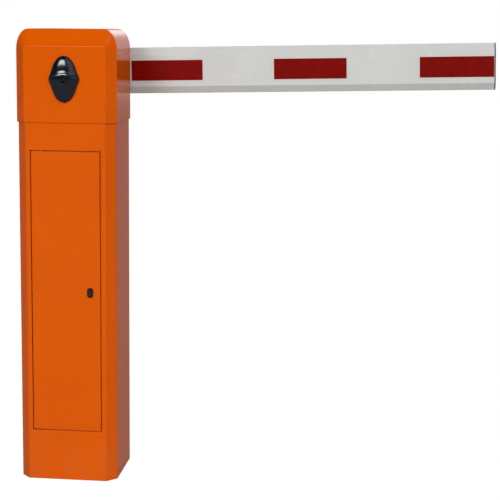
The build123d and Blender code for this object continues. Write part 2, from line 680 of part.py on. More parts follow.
# Each pair of bearing bolts: the back of the heads, the back of the shanks and the shanks' length.
BEARING_BOLTS = (
    (FRAME_FRONT, FRAME_REAR_FACE + HOUSING_FLANGE + 10, FRAME_SHEET + HOUSING_FLANGE + 10),
    (REAR_PLATE_BACK + 5, REAR_PLATE_BACK, REAR_PLATE_THICKNESS + HOUSING_FLANGE + 8),
)
with BuildPart() as frame_screws:
    with BuildSketch(front_plane(FRAME_REAR_FACE + 12)):
        with Locations(*REDUCER_SCREWS):
            Circle(3)
    extrude(amount=12 + FRAME_SHEET)
    with BuildSketch(front_plane(FRAME_FRONT)):
        with Locations(*REDUCER_SCREWS):
            Circle(5)
    extrude(amount=5)
    with BuildSketch(front_plane(FRAME_FRONT - 2)):
        with Locations(*REDUCER_SCREWS):
            RegularPolygon(3, 6)
    extrude(amount=3, mode=Mode.SUBTRACT)
    with BuildSketch(front_plane(FRAME_REAR_FACE + 6)):
        with Locations(*BRACKET_SCREWS):
            Circle(2.5)
    extrude(amount=6 + FRAME_SHEET + BRACKET_SHEET)
    for back, thickness in ((FRAME_FRONT - BRACKET_SHEET, 4), (FRAME_REAR_FACE + 4, 4)):
        with BuildSketch(front_plane(back)):
            with Locations(*BRACKET_SCREWS):
                RegularPolygon(4.6, 6)
        extrude(amount=thickness)
    with BuildSketch(front_plane(REAR_PLATE_BACK)):
        with Locations(*PLATE_SCREWS):
            Circle(3)
    extrude(amount=REAR_PLATE_THICKNESS + FRAME_SHEET + 7)
    for back, thickness in ((REAR_PLATE_BACK + 4, 4), (FRAME_BACK - FRAME_SHEET, 5)):
        with BuildSketch(front_plane(back)):
            with Locations(*PLATE_SCREWS):
                RegularPolygon(5.5, 6)
        extrude(amount=thickness)
    for side in (-1, 1):
        for level in STUD_LEVELS:
            with BuildSketch(stud_plane(side, FRAME_HALF_WIDTH - FRAME_SHEET, level)):
                RegularPolygon(7.5, 6)
                Circle(4.05, mode=Mode.SUBTRACT)
            extrude(amount=6.5)
    for head_back, shank_back, shank_length in BEARING_BOLTS:
        for side in (-1, 1):
            with BuildSketch(front_plane(head_back)):
                with Locations((0, AXIS_Z + side * BEARING_BOLT)):
                    RegularPolygon(9, 6)
            extrude(amount=5)
            with BuildSketch(front_plane(shank_back)):
                with Locations((0, AXIS_Z + side * BEARING_BOLT)):
                    Circle(5)
            extrude(amount=shank_length)
frame_screws.part.label = "frame_screws"
export_step(frame_screws.part, "parts/frame_screws.step")

with BuildPart() as drive_motor:
    with BuildSketch(level_plane(PINION_X, MOTOR_Y, MOTOR_BOTTOM)):
        Circle(25)
        with PolarLocations(26, 24):
            Rectangle(5, 1.6)
    extrude(amount=REDUCER_BOTTOM - MOTOR_BOTTOM - 6)
    with BuildSketch(level_plane(PINION_X, MOTOR_Y, REDUCER_BOTTOM - 6)):
        Circle(28)
    extrude(amount=6)
    with BuildSketch(Plane.XY.offset(LEAD_Z - 26)):
        rectangle_between(PINION_X + 20, LEAD_X + 12, MOTOR_Y - 15, MOTOR_Y + 15)
    extrude(amount=44)
drive_motor.part.label = "drive_motor"
export_step(drive_motor.part, "parts/drive_motor.step")

with BuildPart() as motor_end_cap:
    with BuildSketch(level_plane(PINION_X, MOTOR_Y, MOTOR_BOTTOM)):
        Circle(28.5)
    extrude(amount=-18)
    fillet(motor_end_cap.faces().sort_by(Axis.Z)[0].outer_wire().edges(), 5)
    with BuildSketch(level_plane(PINION_X, MOTOR_Y, MOTOR_BOTTOM - 18)):
        with PolarLocations(14, 8):
            SlotOverall(10, 2.5)
    extrude(amount=4, mode=Mode.SUBTRACT)
motor_end_cap.part.label = "motor_end_cap"
export_step(motor_end_cap.part, "parts/motor_end_cap.step")

pinion_plane = Plane(origin=(PINION_X, GEAR_BACK, PINION_Z), x_dir=(1, 0, 0), z_dir=(0, -1, 0))
pinion_points = []
for tooth in range(PINION_TEETH):
    pinion_points += tooth_points(PINION_TEETH, MESH_ANGLE - 180 + (tooth + 0.5) * 360 / PINION_TEETH)
with BuildPart() as drive_pinion:
    with BuildSketch(pinion_plane):
        with BuildLine():
            Polyline(*pinion_points, close=True)
        make_face()
    extrude(amount=GEAR_WIDTH)
    with BuildSketch(pinion_plane.offset(GEAR_BACK - PINION_SHAFT_BACK)):
        Circle(PINION_SHAFT_RADIUS)
    extrude(amount=PINION_SHAFT_BACK - GEAR_BACK + GEAR_WIDTH + 3)
drive_pinion.part.label = "drive_pinion"
export_step(drive_pinion.part, "parts/drive_pinion.step")

# ---------------------------------------------------------------- shaft and what turns with it
SHAFT_FRONT = -26.0
SHAFT_BACK = HUB_FRONT + HUB_THICKNESS
KEY_WIDTH = 8.0
KEY_BOTTOM = 11.0
KEY_TOP = 18.3
GEAR_HUB = (-14.0, 16.0)
LEVER_HUB = (44.0, 58.0)
LEVER_PLATE = (46.0, 56.0)
with BuildPart() as boom_shaft:
    with BuildSketch(axis_plane(SHAFT_BACK)):
        Circle(SHAFT_RADIUS)
    extrude(amount=SHAFT_BACK - SHAFT_FRONT)
    chamfer(boom_shaft.faces().sort_by(Axis.Y)[0].edges(), 1.5)
    for low, high in (GEAR_HUB, LEVER_HUB):
        with BuildSketch(axis_plane(high)):
            rectangle_between(-KEY_WIDTH / 2, KEY_WIDTH / 2, KEY_BOTTOM, KEY_TOP)
        extrude(amount=high - low, mode=Mode.SUBTRACT)
    with BuildSketch(axis_plane(SHAFT_BACK)):
        Circle(5)
    extrude(amount=25, mode=Mode.SUBTRACT)
boom_shaft.part.label = "boom_shaft"
export_step(boom_shaft.part, "parts/boom_shaft.step")

with BuildPart() as shaft_keys:
    for low, high in (GEAR_HUB, LEVER_HUB):
        with BuildSketch(axis_plane(high)):
            rectangle_between(-KEY_WIDTH / 2, KEY_WIDTH / 2, KEY_BOTTOM, KEY_TOP)
        extrude(amount=high - low)
shaft_keys.part.label = "shaft_keys"
export_step(shaft_keys.part, "parts/shaft_keys.step")

# Only the teeth that meet the pinion between closed and open are there.
sector_points = []
for tooth in range(-18, 3):
    sector_points += tooth_points(GEAR_TEETH, MESH_ANGLE + tooth * 360 / GEAR_TEETH)
with BuildPart() as sector_gear:
    with BuildSketch(axis_plane(GEAR_BACK)):
        with BuildLine():
            Polyline(*sector_points, (0, 0), close=True)
        make_face()
        Circle(26)
        with Locations(*[(45 * cos(radians(a)), 45 * sin(radians(a))) for a in (211, 245, 279)]):
            Circle(8, mode=Mode.SUBTRACT)
    extrude(amount=GEAR_WIDTH)
    with BuildSketch(axis_plane(GEAR_HUB[1])):
        Circle(24)
    extrude(amount=GEAR_HUB[1] - GEAR_HUB[0])
    with BuildSketch(axis_plane(GEAR_HUB[1])):
        Circle(SHAFT_RADIUS)
        rectangle_between(-KEY_WIDTH / 2, KEY_WIDTH / 2, 0, KEY_TOP)
    extrude(amount=GEAR_HUB[1] - GEAR_HUB[0], mode=Mode.SUBTRACT)
sector_gear.part.label = "sector_gear"
export_step(sector_gear.part, "parts/sector_gear.step")

with BuildPart() as limit_cam:
    with BuildSketch(axis_plane(GEAR_HUB[0] - 1)):
        Circle(22)
        with BuildLine():
            lobe = CenterArc((0, 0), 27, 95, 60)
            Line(lobe @ 1, (0, 0))
            Line((0, 0), lobe @ 0)
        make_face()
        Circle(SHAFT_RADIUS, mode=Mode.SUBTRACT)
    extrude(amount=9)
limit_cam.part.label = "limit_cam"
export_step(limit_cam.part, "parts/limit_cam.step")

STOP_ARM = 58.0
STOP_ARM_HALF = 10.0
with BuildPart() as balance_lever:
    with BuildSketch(axis_plane(LEVER_PLATE[1])):
        with Locations((SPRING_X / 2, (LEVER_PIN_Z - AXIS_Z) / 2)):
            SlotCenterToCenter(LEVER_LENGTH, 22, rotation=LEVER_ANGLE)
        with Locations((STOP_ARM / 2, 0)):
            SlotCenterToCenter(STOP_ARM, 2 * STOP_ARM_HALF)
        with Locations((SPRING_X, LEVER_PIN_Z - AXIS_Z)):
            Circle(5, mode=Mode.SUBTRACT)
    extrude(amount=LEVER_PLATE[1] - LEVER_PLATE[0])
    with BuildSketch(axis_plane(LEVER_HUB[1])):
        Circle(24)
    extrude(amount=LEVER_HUB[1] - LEVER_HUB[0])
    with BuildSketch(axis_plane(LEVER_HUB[1])):
        Circle(SHAFT_RADIUS)
        rectangle_between(-KEY_WIDTH / 2, KEY_WIDTH / 2, 0, KEY_TOP)
    extrude(amount=LEVER_HUB[1] - LEVER_HUB[0], mode=Mode.SUBTRACT)
balance_lever.part.label = "balance_lever"
export_step(balance_lever.part, "parts/balance_lever.step")

EYE_WIDTH = 8.0
with BuildPart() as lever_pin:
    with BuildSketch(front_plane(SPRING_Y + EYE_WIDTH / 2 + 3)):
        with Locations((SPRING_X, LEVER_PIN_Z)):
            Circle(5)
    extrude(amount=SPRING_Y + EYE_WIDTH / 2 + 3 - LEVER_PLATE[0])
    for back, thickness in ((LEVER_PLATE[0], 4), (SPRING_Y + EYE_WIDTH / 2 + 2.3, 1.8)):
        with BuildSketch(front_plane(back)):
            with Locations((SPRING_X, LEVER_PIN_Z)):
                Circle(8)
        extrude(amount=thickness)
lever_pin.part.label = "lever_pin"
export_step(lever_pin.part, "parts/lever_pin.step")

# ---------------------------------------------------------------- balance spring
ROD_RING_Z = SPRING_HIGH_RING_Z + LINK_PITCH
with BuildPart() as spring_rod:
    with BuildSketch(front_plane(SPRING_Y + EYE_WIDTH / 2)):
        with Locations((SPRING_X, LEVER_PIN_Z)):
            Circle(11)
    extrude(amount=EYE_WIDTH)
    with BuildSketch(level_plane(SPRING_X, SPRING_Y, ROD_RING_Z + RING_RADIUS - 1)):
        Circle(3.5)
    extrude(amount=LEVER_PIN_Z - ROD_RING_Z - RING_RADIUS + 1 - 7)
    with Locations(Location((SPRING_X, SPRING_Y, ROD_RING_Z), (90, 0, 0))):
        Torus(RING_RADIUS, EYE_WIRE_RADIUS)
    with BuildSketch(front_plane(SPRING_Y + EYE_WIDTH / 2)):
        with Locations((SPRING_X, LEVER_PIN_Z)):
            Circle(5 + RUNNING_FIT)
    extrude(amount=EYE_WIDTH, mode=Mode.SUBTRACT)
spring_rod.part.label = "spring_rod"
export_step(spring_rod.part, "parts/spring_rod.step")

COIL_LOW = SPRING_LOW_RING_Z + 14
COIL_HIGH = SPRING_HIGH_RING_Z - 14
with BuildPart() as balance_spring:
    with BuildSketch(level_plane(SPRING_X, SPRING_Y, COIL_LOW)):
        Circle(SPRING_RADIUS)
    extrude(amount=COIL_HIGH - COIL_LOW)
    with BuildSketch(level_plane(SPRING_X, SPRING_Y, COIL_LOW + 3)):
        Circle(SPRING_RADIUS - 2.5)
    extrude(amount=COIL_HIGH - COIL_LOW - 6, mode=Mode.SUBTRACT)
    for ring, end in ((SPRING_LOW_RING_Z, COIL_LOW), (SPRING_HIGH_RING_Z, COIL_HIGH)):
        away = 1 if end > ring else -1
        with Locations(Location((SPRING_X, SPRING_Y, ring), (0, 90, 0))):
            Torus(RING_RADIUS, SPRING_WIRE_RADIUS)
        with BuildSketch(level_plane(SPRING_X, SPRING_Y, ring + away * RING_RADIUS)):
            Circle(SPRING_WIRE_RADIUS)
        extrude(amount=end - ring - away * (RING_RADIUS - 1))
balance_spring.part.label = "balance_spring"
export_step(balance_spring.part, "parts/balance_spring.step")

EYE_BOLT_RING_Z = SPRING_LOW_RING_Z - LINK_PITCH
EYE_BOLT_BOTTOM = 30.0
with BuildPart() as spring_eye_bolt:
    with BuildSketch(level_plane(SPRING_X, SPRING_Y, EYE_BOLT_BOTTOM)):
        Circle(5)
    extrude(amount=EYE_BOLT_RING_Z - RING_RADIUS - EYE_BOLT_BOTTOM + 1)
    with Locations(Location((SPRING_X, SPRING_Y, EYE_BOLT_RING_Z), (90, 0, 0))):
        Torus(RING_RADIUS, EYE_WIRE_RADIUS)
spring_eye_bolt.part.label = "spring_eye_bolt"
export_step(spring_eye_bolt.part, "parts/spring_eye_bolt.step")

BRACKET_LEVEL = 64.0
BRACKET_SHELF = 10.0
with BuildPart() as spring_bracket:
    with BuildSketch(front_plane(82)):
        rectangle_between(SPRING_X - 20, SPRING_X + 20, BASE_THICKNESS, BRACKET_LEVEL + BRACKET_SHELF)
        rectangle_between(
            SPRING_X - 14, SPRING_X + 14, BASE_THICKNESS + 6, BRACKET_LEVEL, mode=Mode.SUBTRACT
        )
    extrude(amount=36)
    with BuildSketch(level_plane(SPRING_X, SPRING_Y, BRACKET_LEVEL)):
        Circle(5.3)
    extrude(amount=BRACKET_SHELF, mode=Mode.SUBTRACT)
spring_bracket.part.label = "spring_bracket"
export_step(spring_bracket.part, "parts/spring_bracket.step")

with BuildPart() as spring_nuts:
    for level in (BRACKET_LEVEL - 8, BRACKET_LEVEL + BRACKET_SHELF, BRACKET_LEVEL + BRACKET_SHELF + 8.2):
        with BuildSketch(level_plane(SPRING_X, SPRING_Y, level)):
            RegularPolygon(9.5, 6)
            Circle(5.05, mode=Mode.SUBTRACT)
        extrude(amount=8)
spring_nuts.part.label = "spring_nuts"
export_step(spring_nuts.part, "parts/spring_nuts.step")

# ---------------------------------------------------------------- end stops
BUFFER_RADIUS = 8.0
BUFFER_HEIGHT = 12.0
BUFFER_Y = (LEVER_PLATE[0] + LEVER_PLATE[1]) / 2
BUFFER_REACH = 55.0
CLOSED_BUFFER_TOP = AXIS_Z - STOP_ARM_HALF - BODY_GAP
OPEN_BUFFER_FACE = -8.8
STOP_PLATE = 4.0
with BuildPart() as stop_buffers:
    with BuildSketch(level_plane(BUFFER_REACH, BUFFER_Y, CLOSED_BUFFER_TOP)):
        Circle(BUFFER_RADIUS)
    extrude(amount=-BUFFER_HEIGHT)
    with BuildSketch(side_plane(OPEN_BUFFER_FACE)):
        with Locations((BUFFER_Y, AXIS_Z + BUFFER_REACH)):
            Circle(BUFFER_RADIUS)
    extrude(amount=-BUFFER_HEIGHT)
stop_buffers.part.label = "stop_buffers"
export_step(stop_buffers.part, "parts/stop_buffers.step")

with BuildPart() as stop_brackets:
    with BuildSketch(front_plane(BUFFER_Y + 11)):
        level = CLOSED_BUFFER_TOP - BUFFER_HEIGHT
        rectangle_between(BUFFER_REACH - 12, BUFFER_REACH + 12, level - STOP_PLATE, level)
        face = OPEN_BUFFER_FACE - BUFFER_HEIGHT
        rectangle_between(face - STOP_PLATE, face, AXIS_Z + BUFFER_REACH - 11, AXIS_Z + BUFFER_REACH + 11)
    extrude(amount=BUFFER_Y + 11 - FRAME_REAR_FACE)
stop_brackets.part.label = "stop_brackets"
export_step(stop_brackets.part, "parts/stop_brackets.step")

# ---------------------------------------------------------------- limit switches and release
SHELF_BOTTOM = 965.0
SHELF_HALF_WIDTH = 30.0
RELEASE_PLATE = (-46.0, -42.0)
SPINDLE_RADIUS = 6.0
with BuildPart() as release_bracket:
    with BuildSketch(side_plane(-SHELF_HALF_WIDTH)):
        rectangle_between(RELEASE_PLATE[0], FRAME_FRONT, SHELF_BOTTOM, SHELF_BOTTOM + BRACKET_SHEET)
        rectangle_between(FRAME_FRONT - BRACKET_SHEET, FRAME_FRONT, SHELF_BOTTOM, 983)
    extrude(amount=2 * SHELF_HALF_WIDTH)
    with BuildSketch(front_plane(RELEASE_PLATE[1])):
        rectangle_between(-18, 18, AXIS_Z - 18, SHELF_BOTTOM + BRACKET_SHEET)
    extrude(amount=RELEASE_PLATE[1] - RELEASE_PLATE[0])
    with BuildSketch(axis_plane(RELEASE_PLATE[1])):
        Circle(SPINDLE_RADIUS + RUNNING_FIT)
    extrude(amount=RELEASE_PLATE[1] - RELEASE_PLATE[0], mode=Mode.SUBTRACT)
    with BuildSketch(front_plane(FRAME_FRONT)):
        with Locations(*BRACKET_SCREWS):
            Circle(2.7)
    extrude(amount=BRACKET_SHEET, mode=Mode.SUBTRACT)
release_bracket.part.label = "release_bracket"
export_step(release_bracket.part, "parts/release_bracket.step")

SPINDLE_FRONT = -62.0
with BuildPart() as release_spindle:
    with BuildSketch(axis_plane(RELEASE_PLATE[1] + 4)):
        Circle(SPINDLE_RADIUS)
    extrude(amount=RELEASE_PLATE[1] + 4 - RELEASE_PLATE[0] + 6)
    with BuildSketch(axis_plane(RELEASE_PLATE[0] - BODY_GAP)):
        Circle(10)
    extrude(amount=RELEASE_PLATE[0] - BODY_GAP - SPINDLE_FRONT)
    with BuildSketch(axis_plane(RELEASE_PLATE[1] + BODY_GAP + 4)):
        Circle(12)
    extrude(amount=4)
    with BuildSketch(axis_plane(RELEASE_PLATE[1] + 12)):
        with Locations((0, -7.5)):
            Circle(3)
    extrude(amount=9)
    with BuildSketch(axis_plane(SPINDLE_FRONT + 8)):
        Rectangle(2.8, 24)
    extrude(amount=9, mode=Mode.SUBTRACT)
release_spindle.part.label = "release_spindle"
export_step(release_spindle.part, "parts/release_spindle.step")

SWITCH_BACK = GEAR_HUB[0] - 1
with BuildPart() as limit_switches:
    for side in (-1, 1):
        with BuildSketch(front_plane(SWITCH_BACK)):
            with Locations((side * 15, SHELF_BOTTOM - 8)):
                Rectangle(27, 16)
            with Locations((side * 15 - 6, SHELF_BOTTOM - 12), (side * 15 + 6, SHELF_BOTTOM - 4)):
                Circle(1.6, mode=Mode.SUBTRACT)
            with Locations((side * 17, SHELF_BOTTOM - 18)):
                Rectangle(16, 4)
            with Locations((side * 14, SHELF_BOTTOM - 22)):
                Circle(4)
        extrude(amount=10)
limit_switches.part.label = "limit_switches"
export_step(limit_switches.part, "parts/limit_switches.step")

# ---------------------------------------------------------------- electrical parts
BOX_HALF_WIDTH = 70.0
BOX_BOTTOM = 365.0
BOX_TOP = 570.0
BOX_FRONT = -38.0
BOX_WALL = 3.0
GLAND_PLACES = [(x, -9) for x in (-40, 0, 40)]
LEAD_EXIT = (LEAD_X - 8, 0.0)
with BuildPart() as control_box:
    with BuildSketch(front_plane(FRAME_FRONT)):
        rectangle_between(-BOX_HALF_WIDTH, BOX_HALF_WIDTH, BOX_BOTTOM, BOX_TOP)
    extrude(amount=FRAME_FRONT - BOX_FRONT)
    fillet(control_box.edges().filter_by(Axis.Y), 6)
    with BuildSketch(front_plane(FRAME_FRONT - BOX_WALL)):
        rectangle_between(
            BOX_WALL - BOX_HALF_WIDTH, BOX_HALF_WIDTH - BOX_WALL, BOX_BOTTOM + BOX_WALL, BOX_TOP - BOX_WALL
        )
    extrude(amount=FRAME_FRONT - BOX_FRONT, mode=Mode.SUBTRACT)
    with BuildSketch(Plane.XY.offset(BOX_BOTTOM)):
        with Locations(*GLAND_PLACES):
            Circle(7)
    extrude(amount=BOX_WALL, mode=Mode.SUBTRACT)
    with BuildSketch(Plane.XY.offset(BOX_TOP - BOX_WALL)):
        with Locations(LEAD_EXIT):
            Circle(LEAD_RADIUS + 0.1)
    extrude(amount=BOX_WALL, mode=Mode.SUBTRACT)
control_box.part.label = "control_box"
export_step(control_box.part, "parts/control_box.step")

LID_DEPTH = 5.0
with BuildPart() as control_box_lid:
    with BuildSketch(front_plane(BOX_FRONT)):
        rectangle_between(-BOX_HALF_WIDTH, BOX_HALF_WIDTH, BOX_BOTTOM, BOX_TOP)
    extrude(amount=LID_DEPTH)
    fillet(control_box_lid.edges().filter_by(Axis.Y), 6)
    fillet(control_box_lid.faces().sort_by(Axis.Y)[0].outer_wire().edges(), 2)
control_box_lid.part.label = "control_box_lid"
export_step(control_box_lid.part, "parts/control_box_lid.step")

BOARD_BACK = 8.0
BOARD_FRONT = BOARD_BACK - 1.6
with BuildPart() as control_board:
    with BuildSketch(front_plane(BOARD_BACK)):
        rectangle_between(-62, 50, 380, 560)
    extrude(amount=BOARD_BACK - BOARD_FRONT)
    with BuildSketch(front_plane(FRAME_FRONT - BOX_WALL)):
        with Locations(*[(x, z) for x in (-56, 44) for z in (386, 554)]):
            Circle(3.5)
    extrude(amount=FRAME_FRONT - BOX_WALL - BOARD_BACK)
    for x in (-50, -28, -6):
        with BuildSketch(front_plane(BOARD_FRONT)):
            rectangle_between(x, x + 17, 520, 545)
        extrude(amount=15)
    for x in (22, 38):
        with BuildSketch(front_plane(BOARD_FRONT)):
            with Locations((x, 525)):
                Circle(6.5)
        extrude(amount=22)
    with BuildSketch(front_plane(BOARD_FRONT)):
        rectangle_between(-30, 0, 455, 490)
        rectangle_between(12, 34, 430, 442)
        rectangle_between(12, 34, 462, 474)
    extrude(amount=4)
control_board.part.label = "control_board"
export_step(control_board.part, "parts/control_board.step")

with BuildPart() as terminal_blocks:
    for start in (-56, -20, 16):
        with BuildSketch(front_plane(BOARD_FRONT)):
            rectangle_between(start, start + 30, 398, 410)
        extrude(amount=14)
        with BuildSketch(front_plane(BOARD_FRONT - 14 + 3)):
            with Locations(*[(start + 3 + 6 * pole, 404) for pole in range(5)]):
                Circle(1.9)
        extrude(amount=4, mode=Mode.SUBTRACT)
terminal_blocks.part.label = "terminal_blocks"
export_step(terminal_blocks.part, "parts/terminal_blocks.step")

with BuildPart() as cable_glands:
    for x, y in GLAND_PLACES:
        with BuildSketch(level_plane(x, y, BOX_BOTTOM)):
            RegularPolygon(10, 6)
        extrude(amount=-6)
        with BuildSketch(level_plane(x, y, BOX_BOTTOM - 6)):
            Circle(8.5)
        extrude(amount=-12, taper=8)
        with BuildSketch(level_plane(x, y, BOX_BOTTOM)):
            Circle(6.9)
        extrude(amount=BOX_WALL + 5)
        with BuildSketch(level_plane(x, y, BOX_BOTTOM - 19)):
            Circle(4)
        extrude(amount=30, mode=Mode.SUBTRACT)
cable_glands.part.label = "cable_glands"
export_step(cable_glands.part, "parts/cable_glands.step")

with BuildPart() as transformer:
    with BuildSketch(front_plane(12)):
        rectangle_between(-12, 50, 630, 684)
    extrude(amount=24)
    with BuildSketch(front_plane(FRAME_FRONT)):
        rectangle_between(0, 38, 641, 673)
    extrude(amount=46)
    fillet(transformer.faces().sort_by(Axis.Y)[0].edges(), 4)
    for level in (622, 684):
        with BuildSketch(front_plane(FRAME_FRONT)):
            rectangle_between(-12, 50, level, level + 8)
        extrude(amount=2)
        wall_low = 628 if level < 650 else 684
        with BuildSketch(front_plane(FRAME_FRONT)):
            rectangle_between(-12, 50, wall_low, wall_low + 2)
        extrude(amount=FRAME_FRONT + 12)
transformer.part.label = "transformer"
export_step(transformer.part, "parts/transformer.step")

CAPACITOR_X = -50.0
CAPACITOR_RADIUS = 16.0
with BuildPart() as motor_capacitor:
    with BuildSketch(level_plane(CAPACITOR_X, 1, 630)):
        Circle(CAPACITOR_RADIUS)
    extrude(amount=80)
    fillet(motor_capacitor.edges().filter_by(GeomType.CIRCLE), 2)
    with BuildSketch(Plane.XY.offset(709)):
        with Locations((CAPACITOR_X - 6, 1), (CAPACITOR_X + 6, 1)):
            Rectangle(0.8, 6.3)
    extrude(amount=9)
motor_capacitor.part.label = "motor_capacitor"
export_step(motor_capacitor.part, "parts/motor_capacitor.step")

with BuildPart() as capacitor_clip:
    with BuildSketch(level_plane(CAPACITOR_X, 1, 660)):
        Circle(CAPACITOR_RADIUS + 1.7)
        rectangle_between(-24, 24, 17.5, 19)
        Circle(CAPACITOR_RADIUS + 0.05, mode=Mode.SUBTRACT)
    extrude(amount=18)
capacitor_clip.part.label = "capacitor_clip"
export_step(capacitor_clip.part, "parts/capacitor_clip.step")

LEAD_START = (LEAD_EXIT[0], LEAD_EXIT[1], BOX_TOP - 12)
with BuildPart() as motor_lead:
    with BuildLine() as lead_path:
        FilletPolyline(
            LEAD_START,
            (LEAD_EXIT[0], 0, 650),
            (LEAD_X, 0, 690),
            (LEAD_X, 0, LEAD_Z),
            (LEAD_X, MOTOR_Y - 15, LEAD_Z),
            radius=[60, 60, 16],
        )
    with BuildSketch(Plane(origin=LEAD_START, z_dir=(0, 0, 1))):
        Circle(LEAD_RADIUS)
    sweep(path=lead_path.line)
motor_lead.part.label = "motor_lead"
export_step(motor_lead.part, "parts/motor_lead.step")

# ---------------------------------------------------------------- boom
HOLDER_START = -80.0
HOLDER_END = 90.0
HOLDER_FLANGE = 8.0
BOOM_BACK = BOOM_FRONT + BOOM_DEPTH
BOOM_MID_Y = BOOM_FRONT + BOOM_DEPTH / 2
CLAMP_THICKNESS = 6.0
HUB_RADIUS = 52.0
HUB_SCREW_CIRCLE = 38.0
BOOM_BOLTS = [(u, v) for u in (-55, 65) for v in (-28, 28)]


def boom_section_plane(distance):
    """A plane across the boom at a distance from the shaft, centred in the boom."""
    along = boom_plane(BOOM_MID_Y)
    return Plane(origin=along.from_local_coords((distance, 0, 0)), x_dir=(0, 1, 0), z_dir=along.x_dir)


def boom_outline(inset, radius=0.0):
    """The boom's section: a tall box with all four long edges bevelled."""
    half_depth = BOOM_DEPTH / 2 - inset
    half_height = BOOM_HEIGHT / 2 - inset
    flat_depth = half_depth - BOOM_CHAMFER_DEPTH + inset * 0.45
    flat_height = half_height - BOOM_CHAMFER_HEIGHT + inset * 0.45
    corners = [(half_depth, flat_height), (flat_depth, half_height)]
    corners += [(-y, z) for y, z in corners[::-1]]
    corners += [(-y, -z) for y, z in corners]
    with BuildSketch(mode=Mode.PRIVATE) as outline:
        Polygon(*corners, align=None)
        if radius:
            fillet(outline.vertices(), radius)
    return outline.sketch


with BuildPart() as hub_flange:
    with BuildSketch(axis_plane(SHAFT_BACK)):
        Circle(HUB_RADIUS)
        Circle(SHAFT_RADIUS, mode=Mode.SUBTRACT)
        with PolarLocations(HUB_SCREW_CIRCLE, 6):
            Circle(4, mode=Mode.SUBTRACT)
    extrude(amount=HUB_THICKNESS)
    chamfer(hub_flange.faces().sort_by(Axis.Y)[0].outer_wire().edges(), 1.5)
hub_flange.part.label = "hub_flange"
export_step(hub_flange.part, "parts/hub_flange.step")

with BuildPart() as hub_screws:
    with BuildSketch(axis_plane(SHAFT_BACK + HOLDER_WEB - 1)):
        with PolarLocations(HUB_SCREW_CIRCLE, 6):
            Circle(4)
    extrude(amount=HUB_THICKNESS + HOLDER_WEB - 1)
    with BuildSketch(axis_plane(HUB_FRONT)):
        with PolarLocations(HUB_SCREW_CIRCLE, 6):
            Circle(6.5)
    extrude(amount=5)
    with BuildSketch(axis_plane(HUB_FRONT - 2)):
        with PolarLocations(HUB_SCREW_CIRCLE, 6):
            RegularPolygon(3.4, 6)
    extrude(amount=3, mode=Mode.SUBTRACT)
    with BuildSketch(axis_plane(SHAFT_BACK)):
        Circle(5)
    extrude(amount=22)
    with BuildSketch(axis_plane(SHAFT_BACK + 3)):
        Circle(14)
    extrude(amount=3)
    with BuildSketch(axis_plane(SHAFT_BACK + 9)):
        RegularPolygon(9, 6)
    extrude(amount=6)
hub_screws.part.label = "hub_screws"
export_step(hub_screws.part, "parts/hub_screws.step")

with BuildPart() as boom_holder:
    half_height = BOOM_HEIGHT / 2 + HOLDER_FLANGE
    with BuildSketch(boom_plane(BOOM_FRONT)):
        rectangle_between(HOLDER_START, HOLDER_END, -half_height, half_height)
    extrude(amount=HOLDER_WEB)
    with BuildSketch(boom_plane(BOOM_FRONT + 28)):
        for side in (-1, 1):
            edges = sorted((side * BOOM_HEIGHT / 2, side * half_height))
            rectangle_between(HOLDER_START, HOLDER_END, *edges)
    extrude(amount=28)
    fillet(boom_holder.edges().filter_by(Axis.Y), 3)
    with BuildSketch(axis_plane(BOOM_FRONT)):
        Circle(17)
        with PolarLocations(HUB_SCREW_CIRCLE, 6):
            Circle(4)
    extrude(amount=HOLDER_WEB, mode=Mode.SUBTRACT)
    with BuildSketch(boom_plane(BOOM_FRONT)):
        with Locations(*BOOM_BOLTS):
            Circle(4)
    extrude(amount=HOLDER_WEB - 2, mode=Mode.SUBTRACT)
boom_holder.part.label = "boom_holder"
export_step(boom_holder.part, "parts/boom_holder.step")

with BuildPart() as boom:
    with BuildSketch(boom_section_plane(BOOM_START)):
        add(boom_outline(0, BOOM_EDGE_RADIUS))
        add(boom_outline(BOOM_WALL), mode=Mode.SUBTRACT)
    extrude(amount=BOOM_END - BOOM_START)
    with BuildSketch(boom_plane(BOOM_BACK)):
        with Locations(*BOOM_BOLTS):
            Circle(4)
    extrude(amount=BOOM_DEPTH, mode=Mode.SUBTRACT)
boom.part.label = "boom"
export_step(boom.part, "parts/boom.step")

with BuildPart() as boom_clamp_plate:
    with BuildSketch(boom_plane(BOOM_BACK + CLAMP_THICKNESS)):
        rectangle_between(HOLDER_START + 10, HOLDER_END - 10, -36, 36)
        with Locations(*BOOM_BOLTS):
            Circle(4, mode=Mode.SUBTRACT)
    extrude(amount=CLAMP_THICKNESS)
    fillet(boom_clamp_plate.edges().filter_by(Axis.Y).group_by(Axis.X)[0], 6)
    fillet(boom_clamp_plate.edges().filter_by(Axis.Y).group_by(Axis.X)[-1], 6)
boom_clamp_plate.part.label = "boom_clamp_plate"
export_step(boom_clamp_plate.part, "parts/boom_clamp_plate.step")

BOLT_TIP = BOOM_FRONT - HOLDER_WEB + 3
with BuildPart() as boom_bolts:
    with BuildSketch(boom_plane(BOOM_BACK + CLAMP_THICKNESS)):
        with Locations(*BOOM_BOLTS):
            Circle(4)
    extrude(amount=BOOM_BACK + CLAMP_THICKNESS - BOLT_TIP)
    with BuildSketch(boom_plane(BOOM_BACK + CLAMP_THICKNESS + 1.6)):
        with Locations(*BOOM_BOLTS):
            Circle(8)
    extrude(amount=1.6)
    with BuildSketch(boom_plane(BOOM_BACK + CLAMP_THICKNESS + 7)):
        with Locations(*BOOM_BOLTS):
            RegularPolygon(7.5, 6)
    extrude(amount=5.6)
boom_bolts.part.label = "boom_bolts"
export_step(boom_bolts.part, "parts/boom_bolts.step")

